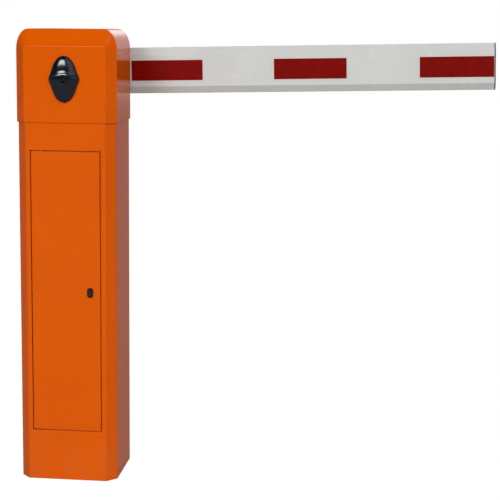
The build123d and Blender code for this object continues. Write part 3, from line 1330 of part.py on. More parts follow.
CAP_THICKNESS = 3.0
CAP_PLUG = 12.0
CAP_WALL = 2.5
with BuildPart() as boom_end_caps:
    for end, outward in ((BOOM_START, -1), (BOOM_END, 1)):
        with BuildSketch(boom_section_plane(end)):
            add(boom_outline(0, BOOM_EDGE_RADIUS))
        extrude(amount=outward * CAP_THICKNESS)
        with BuildSketch(boom_section_plane(end)):
            add(boom_outline(BOOM_WALL + 0.1))
            add(boom_outline(BOOM_WALL + 0.1 + CAP_WALL), mode=Mode.SUBTRACT)
        extrude(amount=-outward * CAP_PLUG)
boom_end_caps.part.label = "boom_end_caps"
export_step(boom_end_caps.part, "parts/boom_end_caps.step")

with BuildPart() as reflective_strips:
    for back in (BOOM_FRONT, BOOM_BACK + STRIP_THICKNESS):
        with BuildSketch(boom_plane(back)):
            for number in range(3):
                start = STRIP_START + number * STRIP_PITCH
                rectangle_between(start, start + STRIP_LENGTH, -STRIP_HEIGHT / 2, STRIP_HEIGHT / 2)
        extrude(amount=STRIP_THICKNESS)
reflective_strips.part.label = "reflective_strips"
export_step(reflective_strips.part, "parts/reflective_strips.step")
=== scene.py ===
"""The look of a parking barrier gate: materials, two detailed pieces, studio and camera.

Metres. X runs along the closed boom, Y from the door to the back, and Z is up.
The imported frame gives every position.
"""

import json
from math import cos, pi, radians, sin, sqrt

import bmesh
import bpy
from mathutils import Matrix, Vector


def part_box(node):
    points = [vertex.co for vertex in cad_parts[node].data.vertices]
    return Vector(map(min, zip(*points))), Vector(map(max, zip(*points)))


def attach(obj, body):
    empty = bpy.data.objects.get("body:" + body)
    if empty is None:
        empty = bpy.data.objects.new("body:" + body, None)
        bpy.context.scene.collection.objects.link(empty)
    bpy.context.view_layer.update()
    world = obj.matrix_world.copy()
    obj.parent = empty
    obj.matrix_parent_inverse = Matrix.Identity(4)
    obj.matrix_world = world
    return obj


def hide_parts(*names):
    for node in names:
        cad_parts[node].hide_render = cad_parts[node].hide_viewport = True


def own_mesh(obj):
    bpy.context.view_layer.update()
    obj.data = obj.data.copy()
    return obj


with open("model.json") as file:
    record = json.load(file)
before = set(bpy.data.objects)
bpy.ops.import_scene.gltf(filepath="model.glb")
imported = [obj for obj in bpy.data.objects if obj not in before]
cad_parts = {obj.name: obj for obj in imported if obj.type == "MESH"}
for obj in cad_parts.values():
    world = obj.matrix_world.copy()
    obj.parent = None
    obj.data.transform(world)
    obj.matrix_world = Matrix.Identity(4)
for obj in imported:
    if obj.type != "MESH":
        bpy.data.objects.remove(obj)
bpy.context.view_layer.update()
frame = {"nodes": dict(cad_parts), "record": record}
NODES = frame["nodes"]
SLOT_OF = {row["node"]: row["material_slot"] for row in frame["record"]["subparts"]}

COVER_LOW, COVER_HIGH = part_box("release_cover")
SPRING_LOW, SPRING_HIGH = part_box("balance_spring")
BARREL_LOW, BARREL_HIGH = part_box("release_barrel")
BOARD_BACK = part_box("control_board")[1].y


# ---------------------------------------------------------------- node helpers
def node(tree, kind, inputs=(), **settings):
    """A new shader node with its settings, and each input linked or set."""
    made = tree.nodes.new("ShaderNode" + kind)
    for name, value in settings.items():
        setattr(made, name, value)
    for name, value in dict(inputs).items():
        if isinstance(value, bpy.types.NodeSocket):
            tree.links.new(value, made.inputs[name])
        else:
            made.inputs[name].default_value = value
    return made


def place(tree, stretch=(1, 1, 1)):
    """Coordinates in the part's own frame, in metres, stretched."""
    own = node(tree, "TexCoord").outputs["Object"]
    return node(tree, "Mapping", {"Vector": own, "Scale": stretch}).outputs["Vector"]


def noise(tree, size, detail=2.0, stretch=(1, 1, 1)):
    """Noise with features about as many metres across as size."""
    inputs = {"Vector": place(tree, stretch), "Scale": 1 / size, "Detail": detail}
    return node(tree, "TexNoise", inputs).outputs["Fac"]


def cells(tree, size, feature="F1", output="Distance", stretch=(1, 1, 1)):
    """A cell pattern with cells about as many metres across as size."""
    inputs = {"Vector": place(tree, stretch), "Scale": 1 / size}
    return node(tree, "TexVoronoi", inputs, feature=feature).outputs[output]


def levels(tree, value, low, high, to_low=0.0, to_high=1.0):
    """The value mapped from one range to another, and kept inside it."""
    inputs = {"Value": value, "From Min": low, "From Max": high, "To Min": to_low, "To Max": to_high}
    return node(tree, "MapRange", inputs).outputs["Result"]


def sums(tree, operation, first, second=0.0):
    """One step of arithmetic."""
    return node(tree, "Math", {0: first, 1: second}, operation=operation).outputs["Value"]


def mixed(tree, share, first, second):
    """Two colours mixed by a share."""
    made = node(tree, "Mix", data_type="RGBA")
    for index, value in ((0, share), (6, first), (7, second)):
        if isinstance(value, bpy.types.NodeSocket):
            tree.links.new(value, made.inputs[index])
        else:
            made.inputs[index].default_value = value if index == 0 else (*value[:3], 1.0)
    return made.outputs[2]


def axis_value(tree, axis):
    """One coordinate in the part's own frame, in metres."""
    own = node(tree, "TexCoord").outputs["Object"]
    return node(tree, "SeparateXYZ", {"Vector": own}).outputs[axis]


def rounded_normal(tree, radius):
    """The surface's direction, turned smoothly round its edges."""
    return node(tree, "Bevel", {"Radius": radius}, samples=4).outputs["Normal"]


def edges(tree, rounded):
    """One along the edges and zero on flat faces."""
    flat = node(tree, "NewGeometry").outputs["Normal"]
    match = node(tree, "VectorMath", {0: rounded, 1: flat}, operation="DOT_PRODUCT")
    return levels(tree, match.outputs["Value"], 0.985, 0.90)


def bump(tree, height, distance, normal=None, strength=1.0):
    """A bumped normal, whose height of one is that many metres."""
    inputs = {"Height": height, "Distance": distance, "Strength": strength}
    if normal is not None:
        inputs["Normal"] = normal
    return node(tree, "Bump", inputs).outputs["Normal"]


def begin(name):
    """A new material: itself, its node tree and its shader."""
    material = bpy.data.materials.new(name)
    material.use_nodes = True
    tree = material.node_tree
    return material, tree, tree.nodes["Principled BSDF"]


def connect(tree, shader, **inputs):
    """Links or sets the shader's inputs; an underscore in a name stands for a space."""
    for name, value in inputs.items():
        socket = shader.inputs[name.replace("_", " ")]
        if isinstance(value, bpy.types.NodeSocket):
            tree.links.new(value, socket)
        else:
            socket.default_value = value


def shade(colour, factor):
    """A colour made lighter or darker."""
    return tuple(min(1.0, part * factor) for part in colour[:3])


# ---------------------------------------------------------------- materials
EDGE_RADIUS = 0.0006
FOLD_RADIUS = 0.0018
DUST_TOP = 0.16
BOARD_THICKNESS = 0.0019
LAMINATION_PITCH = 0.0014


def powder_coat(name, colour, roughness, specular, edge_radius=FOLD_RADIUS, grime=0.08):
    """Powder-coated sheet: faint mottling, orange peel, worn folds, and road dust towards the ground."""
    material, tree, shader = begin(name)
    mottle = levels(tree, noise(tree, 0.16, 3.0), 0.35, 0.65)
    base = mixed(tree, mottle, shade(colour, 0.965), shade(colour, 1.02))
    speckle = levels(tree, noise(tree, 0.0016, 1.0), 0.62, 0.78, 0.0, 0.22)
    base = mixed(tree, speckle, base, shade(colour, 0.82))
    rounded = rounded_normal(tree, edge_radius)
    wear = levels(tree, noise(tree, 0.012, 4.0), 0.5, 0.75, 0.0, 0.35)
    rubbed = sums(tree, "MULTIPLY", edges(tree, rounded), wear)
    base = mixed(tree, rubbed, base, shade(colour, 1.25))
    low_down = levels(tree, axis_value(tree, "Z"), DUST_TOP, 0.0)
    patches = levels(tree, noise(tree, 0.03, 5.0, (1, 1, 0.4)), 0.4, 0.7)
    dust = sums(tree, "MULTIPLY", sums(tree, "MULTIPLY", low_down, patches), grime)
    base = mixed(tree, dust, base, (0.24, 0.19, 0.14))
    smudges = levels(tree, noise(tree, 0.05, 4.0), 0.3, 0.75, roughness * 0.95, roughness * 1.08)
    peel = noise(tree, 0.0028, 2.0)
    normal = bump(tree, peel, 0.00006, rounded, 0.55)
    connect(tree, shader, Base_Color=base, Roughness=sums(tree, "ADD", smudges, dust), Normal=normal)
    connect(tree, shader, Specular_IOR_Level=specular)
    return material


def reflective_sheet(name, colour):
    """Retro-reflective sheeting: fine cells under a clear film, with sealed edges and fine scratches."""
    material, tree, shader = begin(name)
    border = levels(tree, cells(tree, 0.0034, "DISTANCE_TO_EDGE"), 0.02, 0.07)
    tint = levels(tree, noise(tree, 0.02, 3.0), 0.35, 0.7)
    base = mixed(tree, tint, shade(colour, 0.9), shade(colour, 1.1))
    base = mixed(tree, border, shade(colour, 1.35), base)
    scratches = levels(tree, noise(tree, 0.004, 3.0, (0.12, 1, 1)), 0.66, 0.74, 0.0, 0.1)
    base = mixed(tree, scratches, base, (0.26, 0.02, 0.015))
    rounded = rounded_normal(tree, 0.0004)
    gloss = levels(tree, noise(tree, 0.03, 3.0), 0.3, 0.7, 0.26, 0.40)
    normal = bump(tree, border, 0.00005, rounded, 0.5)
    connect(tree, shader, Base_Color=base, Roughness=gloss, Normal=normal)
    connect(tree, shader, Coat_Weight=0.03, Coat_Roughness=0.15, Specular_IOR_Level=0.05)
    return material


def moulded(name, colour, roughness, grain=0.0009, edge_radius=EDGE_RADIUS):
    """Moulded plastic or rubber: fine grain, slight fading, and scuffs on the edges."""
    material, tree, shader = begin(name)
    fading = levels(tree, noise(tree, 0.03, 3.0), 0.35, 0.7)
    base = mixed(tree, fading, shade(colour, 0.95), shade(colour, 1.04))
    rounded = rounded_normal(tree, edge_radius)
    wear = levels(tree, noise(tree, 0.005, 4.0), 0.45, 0.7, 0.0, 0.5)
    scuffs = sums(tree, "MULTIPLY", edges(tree, rounded), wear)
    pale = tuple(part * 0.7 + 0.12 for part in colour[:3])
    base = mixed(tree, scuffs, base, pale)
    gloss = levels(tree, noise(tree, 0.012, 3.0), 0.3, 0.7, roughness * 0.85, roughness * 1.15)
    normal = bump(tree, noise(tree, grain, 2.0), 0.00008, rounded, 0.6)
    connect(tree, shader, Base_Color=base, Roughness=gloss, Normal=normal)
    return material


def enamel(name, colour, roughness, specular=0.5):
    """Painted metal with bare steel showing where its edges have rubbed."""
    material, tree, shader = begin(name)
    cloud = levels(tree, noise(tree, 0.02, 4.0), 0.35, 0.7)
    base = mixed(tree, cloud, shade(colour, 0.8), shade(colour, 1.25))
    rounded = rounded_normal(tree, EDGE_RADIUS)
    chips = sums(tree, "MULTIPLY", edges(tree, rounded), levels(tree, noise(tree, 0.003, 4.0), 0.52, 0.6))
    base = mixed(tree, chips, base, (0.34, 0.33, 0.32))
    gloss = levels(tree, noise(tree, 0.01, 3.0), 0.3, 0.7, roughness * 0.8, roughness * 1.2)
    normal = bump(tree, noise(tree, 0.0018, 3.0), 0.00008, rounded, 0.6)
    metal = sums(tree, "MULTIPLY", chips, 0.8)
    connect(tree, shader, Base_Color=base, Roughness=gloss, Metallic=metal, Normal=normal)
    connect(tree, shader, Specular_IOR_Level=specular)
    return material


def polished_black(name, colour):
    """Polished black plastic with fine polishing lines and a little dust."""
    material, tree, shader = begin(name)
    cloud = levels(tree, noise(tree, 0.015, 3.0), 0.4, 0.7)
    base = mixed(tree, cloud, colour, shade(colour, 1.6))
    dust = levels(tree, noise(tree, 0.0012, 2.0), 0.68, 0.8, 0.0, 0.08)
    base = mixed(tree, dust, base, (0.16, 0.16, 0.16))
    lines = levels(tree, noise(tree, 0.002, 3.0, (1, 1, 0.1)), 0.4, 0.7, 0.10, 0.14)
    normal = bump(tree, noise(tree, 0.006, 2.0), 0.00004, rounded_normal(tree, 0.0005), 0.4)
    connect(tree, shader, Base_Color=base, Roughness=lines, Normal=normal)
    connect(tree, shader, Coat_Weight=0.1, Coat_Roughness=0.07, Specular_IOR_Level=0.5)
    return material


def bare_metal(name, colour, roughness, grain=(1, 1, 1), grain_size=0.0012, tint=None, stain=0.15):
    """Bare or plated metal with its grain, a slight colour cast and darker handling marks."""
    material, tree, shader = begin(name)
    cast = levels(tree, noise(tree, 0.02, 3.0), 0.35, 0.68)
    base = mixed(tree, cast, shade(colour, 0.88), tint or shade(colour, 1.08))
    marks = levels(tree, noise(tree, 0.009, 5.0), 0.55, 0.75, 0.0, stain)
    base = mixed(tree, marks, base, (0.12, 0.10, 0.09))
    rounded = rounded_normal(tree, EDGE_RADIUS)
    base = mixed(tree, sums(tree, "MULTIPLY", edges(tree, rounded), 0.4), base, shade(colour, 1.3))
    lines = noise(tree, grain_size, 3.0, grain)
    gloss = levels(tree, lines, 0.3, 0.7, roughness * 0.75, roughness * 1.3)
    normal = bump(tree, lines, 0.00003, rounded, 0.6)
    connect(tree, shader, Base_Color=base, Roughness=gloss, Metallic=1.0, Normal=normal)
    return material


def galvanised(name, colour):
    """Hot-dip zinc: soft spangle of several greys, with a few white bloom patches."""
    material, tree, shader = begin(name)
    grey = cells(tree, 0.009, output="Color")
    value = node(tree, "SeparateColor", {"Color": grey}).outputs["Red"]
    base = mixed(tree, value, shade(colour, 0.89), shade(colour, 1.06))
    bloom = levels(tree, noise(tree, 0.05, 5.0), 0.58, 0.75, 0.0, 0.25)
    base = mixed(tree, bloom, base, (0.72, 0.72, 0.70))
    rounded = rounded_normal(tree, EDGE_RADIUS)
    gloss = levels(tree, value, 0.0, 1.0, 0.34, 0.5)
    normal = bump(tree, noise(tree, 0.004, 3.0), 0.00006, rounded, 0.5)
    connect(tree, shader, Base_Color=base, Roughness=gloss, Metallic=0.9, Normal=normal)
    return material


def cast_metal(name, colour, roughness, metallic, pit_size):
    """Cast metal, with its grainy skin and a little dirt in the hollows."""
    material, tree, shader = begin(name)
    skin = noise(tree, pit_size, 5.0)
    base = mixed(tree, levels(tree, skin, 0.35, 0.65), shade(colour, 0.72), shade(colour, 1.12))
    rounded = rounded_normal(tree, 2 * EDGE_RADIUS)
    base = mixed(tree, sums(tree, "MULTIPLY", edges(tree, rounded), 0.35), base, shade(colour, 1.5))
    gloss = levels(tree, skin, 0.3, 0.7, roughness * 0.85, roughness * 1.15)
    connect(tree, shader, Base_Color=base, Roughness=gloss, Normal=bump(tree, skin, 0.00015, rounded, 0.7))
    connect(tree, shader, Metallic=metallic)
    return material


def greased_steel(name, colour):
    """Cut gear steel with streaks of dark grease."""
    material, tree, shader = begin(name)
    smear = levels(tree, noise(tree, 0.012, 5.0), 0.38, 0.68)
    base = mixed(tree, smear, colour, (0.09, 0.075, 0.06))
    rounded = rounded_normal(tree, EDGE_RADIUS)
    cuts = noise(tree, 0.0008, 2.0, (1, 0.08, 1))
    gloss = levels(tree, smear, 0.0, 1.0, 0.34, 0.18)
    metal = levels(tree, smear, 0.0, 1.0, 1.0, 0.25)
    normal = bump(tree, cuts, 0.00003, rounded, 0.6)
    connect(tree, shader, Base_Color=base, Roughness=gloss, Metallic=metal, Normal=normal)
    return material


def circuit_board(name, colour):
    """A green board with copper tracks under the mask; what stands in front of it is black and silver."""
    material, tree, shader = begin(name)
    board_face = BOARD_BACK - BOARD_THICKNESS
    tracks = cells(tree, 0.012, "DISTANCE_TO_EDGE", stretch=(1, 0.01, 1))
    copper = levels(tree, tracks, 0.04, 0.07, 1.0, 0.0)
    mask = mixed(tree, copper, colour, shade(colour, 2.2))
    kind = node(tree, "SeparateColor", {"Color": cells(tree, 0.03, output="Color")}).outputs["Green"]
    silver = levels(tree, kind, 0.64, 0.66)
    parts = mixed(tree, silver, (0.02, 0.02, 0.022), (0.55, 0.55, 0.56))
    in_front = levels(tree, axis_value(tree, "Y"), board_face, board_face - 0.0004)
    rounded = rounded_normal(tree, EDGE_RADIUS)
    gloss = levels(tree, noise(tree, 0.008, 3.0), 0.3, 0.7, 0.28, 0.42)
    normal = bump(tree, copper, 0.00004, rounded, 0.7)
    connect(tree, shader, Base_Color=mixed(tree, in_front, mask, parts), Roughness=gloss, Normal=normal)
    return material


def laminations(name, colour):
    """A stack of varnished iron sheets, seen as fine lines up the core."""
    material, tree, shader = begin(name)
    height = axis_value(tree, "Z")
    wave = sums(tree, "SINE", sums(tree, "MULTIPLY", height, 2 * pi / LAMINATION_PITCH))
    base = mixed(tree, levels(tree, wave, -1.0, 1.0), shade(colour, 0.6), shade(colour, 1.5))
    varnish = levels(tree, noise(tree, 0.02, 4.0), 0.4, 0.7, 0.0, 0.5)
    base = mixed(tree, varnish, base, (0.10, 0.045, 0.02))
    gloss = levels(tree, noise(tree, 0.01, 3.0), 0.3, 0.7, 0.3, 0.5)
    normal = bump(tree, wave, 0.00006, rounded_normal(tree, EDGE_RADIUS), 0.7)
    connect(tree, shader, Base_Color=base, Roughness=gloss, Normal=normal)
    return material


ORANGE = (0.73, 0.104, 0.0004)
INNER_ORANGE = (0.62, 0.09, 0.002)
BOOM_WHITE = (0.645, 0.65, 0.625)
STRIP_RED = (0.190, 0.0025, 0.0010)

MATERIALS = {
    "orange_paint": powder_coat("orange_paint", ORANGE, 0.16, 0.18),
    "inner_orange_paint": powder_coat("inner_orange_paint", INNER_ORANGE, 0.34, 0.25, EDGE_RADIUS),
    "white_paint": powder_coat("white_paint", BOOM_WHITE, 0.26, 0.35, 0.0015),
    "red_reflector": reflective_sheet("red_reflector", STRIP_RED),
    "cap_plastic": moulded("cap_plastic", (0.075, 0.08, 0.09), 0.55),
    "cover_plastic": polished_black("cover_plastic", (0.003, 0.006, 0.011)),
    "lock_black": enamel("lock_black", (0.028, 0.011, 0.007), 0.35, 0.2),
    "lock_barrel": enamel("lock_barrel", (0.022, 0.013, 0.010), 0.32, 0.3),
    "zinc_steel": bare_metal("zinc_steel", (0.58, 0.59, 0.60), 0.32, tint=(0.62, 0.60, 0.50)),
    "galvanised": galvanised("galvanised", (0.52, 0.54, 0.56)),
    "machined_steel": bare_metal("machined_steel", (0.50, 0.50, 0.51), 0.28, (1, 0.05, 1), stain=0.25),
    "gear_steel": greased_steel("gear_steel", (0.40, 0.40, 0.41)),
    "housing_iron": cast_metal("housing_iron", (0.045, 0.06, 0.07), 0.55, 0.0, 0.0025),
    "bearing_steel": bare_metal("bearing_steel", (0.62, 0.62, 0.63), 0.16, (1, 0.05, 1), stain=0.1),
    "cast_aluminium": cast_metal("cast_aluminium", (0.50, 0.51, 0.52), 0.45, 0.85, 0.0016),
    "holder_paint": enamel("holder_paint", (0.020, 0.020, 0.022), 0.42),
    "motor_paint": enamel("motor_paint", (0.026, 0.028, 0.032), 0.38),
    "spring_paint": enamel("spring_paint", (0.016, 0.016, 0.018), 0.30),
    "rubber": moulded("rubber", (0.018, 0.018, 0.018), 0.72),
    "box_plastic": moulded("box_plastic", (0.48, 0.49, 0.49), 0.48),
    "gland_plastic": moulded("gland_plastic", (0.035, 0.038, 0.042), 0.5),
    "switch_plastic": moulded("switch_plastic", (0.012, 0.012, 0.013), 0.4),
    "cam_plastic": moulded("cam_plastic", (0.60, 0.58, 0.50), 0.42),
    "terminal_plastic": moulded("terminal_plastic", (0.02, 0.20, 0.06), 0.4),
    "board": circuit_board("board", (0.008, 0.085, 0.03)),
    "capacitor_can": moulded("capacitor_can", (0.66, 0.66, 0.63), 0.36),
    "transformer_iron": laminations("transformer_iron", (0.05, 0.045, 0.045)),
    "cable_rubber": moulded("cable_rubber", (0.014, 0.014, 0.014), 0.6),
}

for name, part in NODES.items():
    part.data.materials.clear()
    part.data.materials.append(MATERIALS[SLOT_OF[name]])


# ---------------------------------------------------------------- mesh helpers
def mesh_piece(name, build, slot):
    """A new object from a bmesh that build fills, with the slot's material."""
    data = bpy.data.meshes.new(name)
    shape = bmesh.new()
    build(shape)
    bmesh.ops.recalc_face_normals(shape, faces=shape.faces)
    for face in shape.faces:
        face.smooth = True
    shape.to_mesh(data)
    shape.free()
    piece = bpy.data.objects.new(name, data)
    bpy.context.scene.collection.objects.link(piece)
    data.materials.append(MATERIALS[slot])
    return piece


def ring(shape, points):
    """Vertices at these points."""
    return [shape.verts.new(point) for point in points]


def skin(shape, rings, closed=True):
    """Faces between each ring of vertices and the next."""
    for first, second in zip(rings, rings[1:]):
        count = len(first)
        for index in range(count if closed else count - 1):
            after = (index + 1) % count
            shape.faces.new((first[index], first[after], second[after], second[index]))


# ---------------------------------------------------------------- release lock's cover
COVER_MIDDLE = (COVER_LOW + COVER_HIGH) / 2
COVER_HALF_WIDTH = (COVER_HIGH.x - COVER_LOW.x) / 2
COVER_HALF_HEIGHT = (COVER_HIGH.z - COVER_LOW.z) / 2
COVER_BACK = COVER_HIGH.y
COVER_DEPTH = COVER_HIGH.y - COVER_LOW.y
OVAL_HALF_WIDTH = 0.86 * COVER_HALF_WIDTH
COVER_SEGMENTS = 240
COVER_RINGS = 110
RIM_HEIGHT = 0.0025
DOME_RISE = 0.0102
DOME_FULLNESS = 2.6
VISOR_STEP = 0.00095
VISOR_EDGE = 0.0011
EAR_SHARPNESS = 14
LIP_TOP = 0.0135
EAR_TOP = 0.003
LIP_BEND = 1.3
SECOND_LIP_DROP = 0.0048
LIP_FADE = 0.08
SLOT_HALF_WIDTH = 0.0026
SLOT_HALF_HEIGHT = 0.0098
LIP_REACH = 0.0055
BARREL_GAP = 0.00015
BARREL_WALL = 0.0034


def cover_radius(angle):
    """The distance from the cover's middle to its rim: a tall oval with a soft point at each side."""
    across = abs(cos(angle))
    oval = sqrt(1 / ((across / OVAL_HALF_WIDTH) ** 2 + (sin(angle) / COVER_HALF_HEIGHT) ** 2))
    return oval + (COVER_HALF_WIDTH - OVAL_HALF_WIDTH) * across ** EAR_SHARPNESS


def slot_radius(angle):
    """The distance from the middle to the key slot's edge: a narrow upright slot with round ends."""
    side = SLOT_HALF_WIDTH / max(abs(cos(angle)), 1e-6)
    if side * abs(sin(angle)) <= SLOT_HALF_HEIGHT - SLOT_HALF_WIDTH:
        return side
    middle = SLOT_HALF_HEIGHT - SLOT_HALF_WIDTH
    reach = middle * abs(sin(angle))
    return reach + sqrt(reach ** 2 - middle ** 2 + SLOT_HALF_WIDTH ** 2)


def smooth_step(distance):
    """Zero behind an edge and one past it, turning smoothly over its width."""
    share = min(1.0, max(0.0, distance / VISOR_EDGE + 0.5))
    return share * share * (3 - 2 * share)


def lip_height(x, drop):
    """How far above the cover's middle the visor's lip runs: up from each ear to the key slot."""
    share = min(1.0, abs(x) / COVER_HALF_WIDTH)
    return LIP_TOP - drop - (LIP_TOP - EAR_TOP - drop) * share ** LIP_BEND


def cover_height(x, z, share):
    """The cover's height above the hood, with the visor's two lips over its upper half."""
    fullness = max(0.0, 1 - share ** DOME_FULLNESS) ** (1 / DOME_FULLNESS)
    dome = RIM_HEIGHT + DOME_RISE * fullness
    fade = min(1.0, (1 - share) / LIP_FADE)
    steps = 0.0
    for drop in (0.0, SECOND_LIP_DROP):
        above = z - lip_height(x, drop)
        steps += smooth_step(above) * max(0.0, 1 - max(0.0, above) / LIP_REACH)
    return min(COVER_DEPTH, dome + VISOR_STEP * steps * fade)


def cover_point(angle, share):
    """A point on the cover's face, between the key slot's edge at zero and the rim at one."""
    rim = cover_radius(angle)
    reach = slot_radius(angle) + (rim - slot_radius(angle)) * share
    x = reach * cos(angle)
    z = reach * sin(angle)
    return COVER_MIDDLE.x + x, COVER_BACK - cover_height(x, z, reach / rim), COVER_MIDDLE.z + z


def barrel_point(angle, depth):
    """A point just outside the key barrel, which the slot's floor fits closely."""
    radius = (BARREL_HIGH.x - BARREL_LOW.x) / 2 + BARREL_GAP
    middle = (BARREL_LOW + BARREL_HIGH) / 2
    return middle.x + radius * cos(angle), depth, middle.z + radius * sin(angle)


def build_cover(shape):
    """The cover, from the hood over its rim and its face, down into the key slot, and round the barrel."""
    angles = [2 * pi * index / COVER_SEGMENTS for index in range(COVER_SEGMENTS)]
    rim = [cover_point(angle, 1.0) for angle in angles]
    rings = [ring(shape, [(x, COVER_BACK, z) for x, _, z in rim])]
    for step in range(COVER_RINGS + 1):
        share = sin((1 - step / COVER_RINGS) * pi / 2)
        rings.append(ring(shape, [cover_point(angle, share) for angle in angles]))
    face = BARREL_LOW.y - BARREL_GAP
    slot_edge = [cover_point(angle, 0.0) for angle in angles]
    rings.append(ring(shape, [(x, face, z) for x, _, z in slot_edge]))
    for depth in (face, face + BARREL_WALL):
        rings.append(ring(shape, [barrel_point(angle, depth) for angle in angles]))
    skin(shape, rings)


cover = mesh_piece("release_cover_shell", build_cover, "cover_plastic")
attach(cover, "hood")
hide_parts("release_cover")

# ---------------------------------------------------------------- balance spring
SPRING_RADIUS = (SPRING_HIGH.y - SPRING_LOW.y) / 2
WIRE_RADIUS = 0.0025
WIRE_CLEARANCE = 0.0001
COIL_RADIUS = SPRING_RADIUS - WIRE_RADIUS
HOOK_RADIUS = 0.008
HOOK_NECK = 0.0165
HOOK_OPENING = 60
HOOK_STEPS = 18
COIL_TURNS = 72
TURN_STEPS = 20
SPRING_X = (SPRING_LOW.x + SPRING_HIGH.x) / 2
SPRING_Y = (SPRING_LOW.y + SPRING_HIGH.y) / 2
LOW_RING = SPRING_LOW.z + HOOK_RADIUS + WIRE_RADIUS
HIGH_RING = SPRING_HIGH.z - HOOK_RADIUS - WIRE_RADIUS
COIL_LOW = LOW_RING + HOOK_NECK
COIL_HIGH = HIGH_RING - HOOK_NECK


def hook_points(centre_z, upwards):
    """The open ring at one end of the spring, from its far side round to the coil."""
    points = []
    for step in range(HOOK_STEPS + 1):
        angle = radians(HOOK_OPENING / 2 - 180 + step * (360 - HOOK_OPENING) / HOOK_STEPS)
        z = centre_z - upwards * HOOK_RADIUS * cos(angle)
        points.append((SPRING_X + HOOK_RADIUS * sin(angle), SPRING_Y, z))
    return points


def spring_line():
    """The wire's middle line: lower ring, coil, upper ring."""
    line = hook_points(LOW_RING, 1)
    for step in range(COIL_TURNS * TURN_STEPS + 1):
        angle = 2 * pi * step / TURN_STEPS
        z = COIL_LOW + (COIL_HIGH - COIL_LOW) * step / (COIL_TURNS * TURN_STEPS)
        line.append((SPRING_X + COIL_RADIUS * cos(angle), SPRING_Y + COIL_RADIUS * sin(angle), z))
    return line + list(reversed(hook_points(HIGH_RING, -1)))


def spring_piece():
    """The spring as a mesh: a round wire along its line."""
    curve = bpy.data.curves.new("balance_spring_coil", "CURVE")
    curve.dimensions = "3D"
    curve.bevel_depth = WIRE_RADIUS - WIRE_CLEARANCE
    curve.bevel_resolution = 3
    curve.use_fill_caps = True
    line = spring_line()
    spline = curve.splines.new("POLY")
    spline.points.add(len(line) - 1)
    for point, place_of_it in zip(spline.points, line):
        point.co = (*place_of_it, 1.0)
    holder = bpy.data.objects.new("balance_spring_line", curve)
    bpy.context.scene.collection.objects.link(holder)
    bpy.context.view_layer.update()
    evaluated = holder.evaluated_get(bpy.context.evaluated_depsgraph_get())
    data = bpy.data.meshes.new_from_object(evaluated)
    bpy.data.objects.remove(holder)
    for face in data.polygons:
        face.use_smooth = True
    piece = bpy.data.objects.new("balance_spring_coil", data)
    bpy.context.scene.collection.objects.link(piece)
    data.materials.clear()
    data.materials.append(MATERIALS["spring_paint"])
    return piece


spring = spring_piece()
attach(spring, "spring_link")
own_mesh(spring)
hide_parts("balance_spring")


# ---------------------------------------------------------------- studio
# Values that end in MIRRORED are what glossy surfaces see of the fill, the room and the floor.
FLOOR_HALF = 15.0
FLOOR_GREY = (0.32, 0.32, 0.315)
FLOOR_GLOW = 1.17
FLOOR_SHARE = 0.85
FLOOR_MIRRORED = 0.09
# Each softbox: its left and right azimuth, the sines of its lowest and highest elevation, and its glow.
# The one behind is mirrored, so it stands on both sides of straight behind.
KEY_BOX = (-30, -8, 0.20, 0.44, 15.0)
FILL_BOX = (2, 57, 0.02, 0.72, 2.85)
FILL_MIRRORED = 0.3
BACK_BOX = (145, 185, 0.20, 0.70, 2.5)
SIDE_BLUR = 0.06
TOP_BLUR = 0.04
ROOM_BEHIND = 0.10
ROOM_MIRRORED = 0.74
ROOM_DARKEST = 0.02
FLOOR_DROP = 0.0005


def floor_material():
    """A studio floor with a faint grain, over a light table's glow, which keeps it white in the picture."""
    material, tree, shader = begin("studio_floor")
    base = mixed(tree, noise(tree, 0.3, 3.0), shade(FLOOR_GREY, 0.97), FLOOR_GREY)
    grain = bump(tree, noise(tree, 0.004, 2.0), 0.0001)
    connect(tree, shader, Base_Color=base, Roughness=0.8, Normal=grain, Specular_IOR_Level=0.0)
    glow = node(tree, "Emission", {"Color": (1, 1, 1, 1), "Strength": FLOOR_GLOW}).outputs["Emission"]
    path = node(tree, "LightPath").outputs
    in_gloss = sums(tree, "MULTIPLY", path["Is Glossy Ray"], FLOOR_MIRRORED)
    share = sums(tree, "ADD", sums(tree, "MULTIPLY", path["Is Camera Ray"], FLOOR_SHARE), in_gloss)
    both = node(tree, "MixShader", {0: share, 1: shader.outputs["BSDF"], 2: glow})
    tree.links.new(both.outputs["Shader"], tree.nodes["Material Output"].inputs["Surface"])
    return material


def studio_floor():
    """A square floor whose middle is under the object."""
    shape = bmesh.new()
    corners = [(-1, -1), (1, -1), (1, 1), (-1, 1)]
    shape.faces.new(ring(shape, [(x * FLOOR_HALF, y * FLOOR_HALF, -FLOOR_DROP) for x, y in corners]))
    data = bpy.data.meshes.new("studio_floor")
    shape.to_mesh(data)
    shape.free()
    data.materials.append(floor_material())
    piece = bpy.data.objects.new("studio_floor", data)
    bpy.context.scene.collection.objects.link(piece)


def window(tree, value, low, high, blur):
    """One between low and high, falling to zero over the blur outside them."""
    rising = levels(tree, value, low - blur, low + blur)
    falling = levels(tree, value, high + blur, high - blur)
    return sums(tree, "MULTIPLY", rising, falling)


def softbox(tree, azimuth, height, box):
    """The glow of one softbox on the studio's wall."""
    left, right, low, high, glow = box
    across = window(tree, azimuth, radians(left), radians(right), SIDE_BLUR)
    upright = window(tree, height, low, high, TOP_BLUR)
    return sums(tree, "MULTIPLY", sums(tree, "MULTIPLY", across, upright), glow)


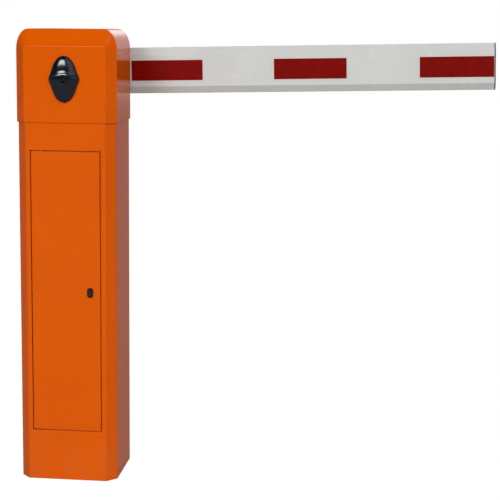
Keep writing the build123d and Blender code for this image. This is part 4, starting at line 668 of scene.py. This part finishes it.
def studio_world():
    """Two softboxes in front, one behind, a dim room, and the white backdrop that the camera sees."""
    world = bpy.data.worlds.new("studio")
    world.use_nodes = True
    tree = world.node_tree
    direction = node(tree, "TexCoord").outputs["Generated"]
    split = node(tree, "SeparateXYZ", {"Vector": direction}).outputs
    azimuth = sums(tree, "ARCTAN2", split["X"], sums(tree, "MULTIPLY", split["Y"], -1.0))
    path = node(tree, "LightPath").outputs
    fill_share = levels(tree, path["Is Glossy Ray"], 0.0, 1.0, 1.0, FILL_MIRRORED)
    fill = sums(tree, "MULTIPLY", softbox(tree, azimuth, split["Z"], FILL_BOX), fill_share)
    in_front = sums(tree, "ADD", softbox(tree, azimuth, split["Z"], KEY_BOX), fill)
    either_side = sums(tree, "ABSOLUTE", azimuth)
    lit = sums(tree, "ADD", in_front, softbox(tree, either_side, split["Z"], BACK_BOX))
    behind = levels(tree, split["Y"], -0.3, 0.5)
    above = levels(tree, split["Z"], 0.0, 0.8, 1.0, 2.0)
    on_right = levels(tree, split["X"], -0.15, 0.1, ROOM_BEHIND, ROOM_MIRRORED)
    shares = {0: path["Is Glossy Ray"], 2: ROOM_BEHIND, 3: on_right}
    grey = node(tree, "Mix", shares, data_type="FLOAT").outputs[0]
    room = sums(tree, "MULTIPLY", sums(tree, "MULTIPLY", behind, above), grey)
    light = sums(tree, "ADD", lit, sums(tree, "ADD", room, ROOM_DARKEST))
    seen = {0: path["Is Camera Ray"], 2: light, 3: 1.0}
    level = node(tree, "Mix", seen, data_type="FLOAT").outputs[0]
    tree.links.new(level, tree.nodes["Background"].inputs["Strength"])
    tree.nodes["Background"].inputs["Color"].default_value = (1, 1, 1, 1)
    return world


studio_floor()
bpy.context.scene.world = studio_world()

# ---------------------------------------------------------------- camera
CAMERA_PLACE = (0.70862, -2.88278, 1.03088)
CAMERA_YAW = 6.1176
CAMERA_PITCH = 7.2115
CAMERA_ROLL = 0.5111
CAMERA_LENS = 93.838
CAMERA_SHIFT = -0.124
SENSOR_WIDTH = 36.0


def camera_axes():
    """The camera's own right, up and back directions."""
    yaw, pitch, roll = radians(CAMERA_YAW), radians(CAMERA_PITCH), radians(CAMERA_ROLL)
    forward = Vector((-sin(yaw) * cos(pitch), cos(yaw) * cos(pitch), -sin(pitch)))
    level = Vector((cos(yaw), sin(yaw), 0.0))
    upright = level.cross(forward)
    right = level * cos(roll) + upright * sin(roll)
    up = upright * cos(roll) - level * sin(roll)
    return right, up, -forward


camera_data = bpy.data.cameras.new("camera")
camera_data.sensor_width = SENSOR_WIDTH
camera_data.lens = CAMERA_LENS
camera_data.shift_y = CAMERA_SHIFT
camera = bpy.data.objects.new("camera", camera_data)
camera.rotation_mode = "QUATERNION"
camera.rotation_quaternion = Matrix(camera_axes()).transposed().to_quaternion()
camera.location = CAMERA_PLACE
bpy.context.scene.collection.objects.link(camera)
bpy.context.scene.camera = camera
bpy.context.scene.view_settings.view_transform = "Standard"
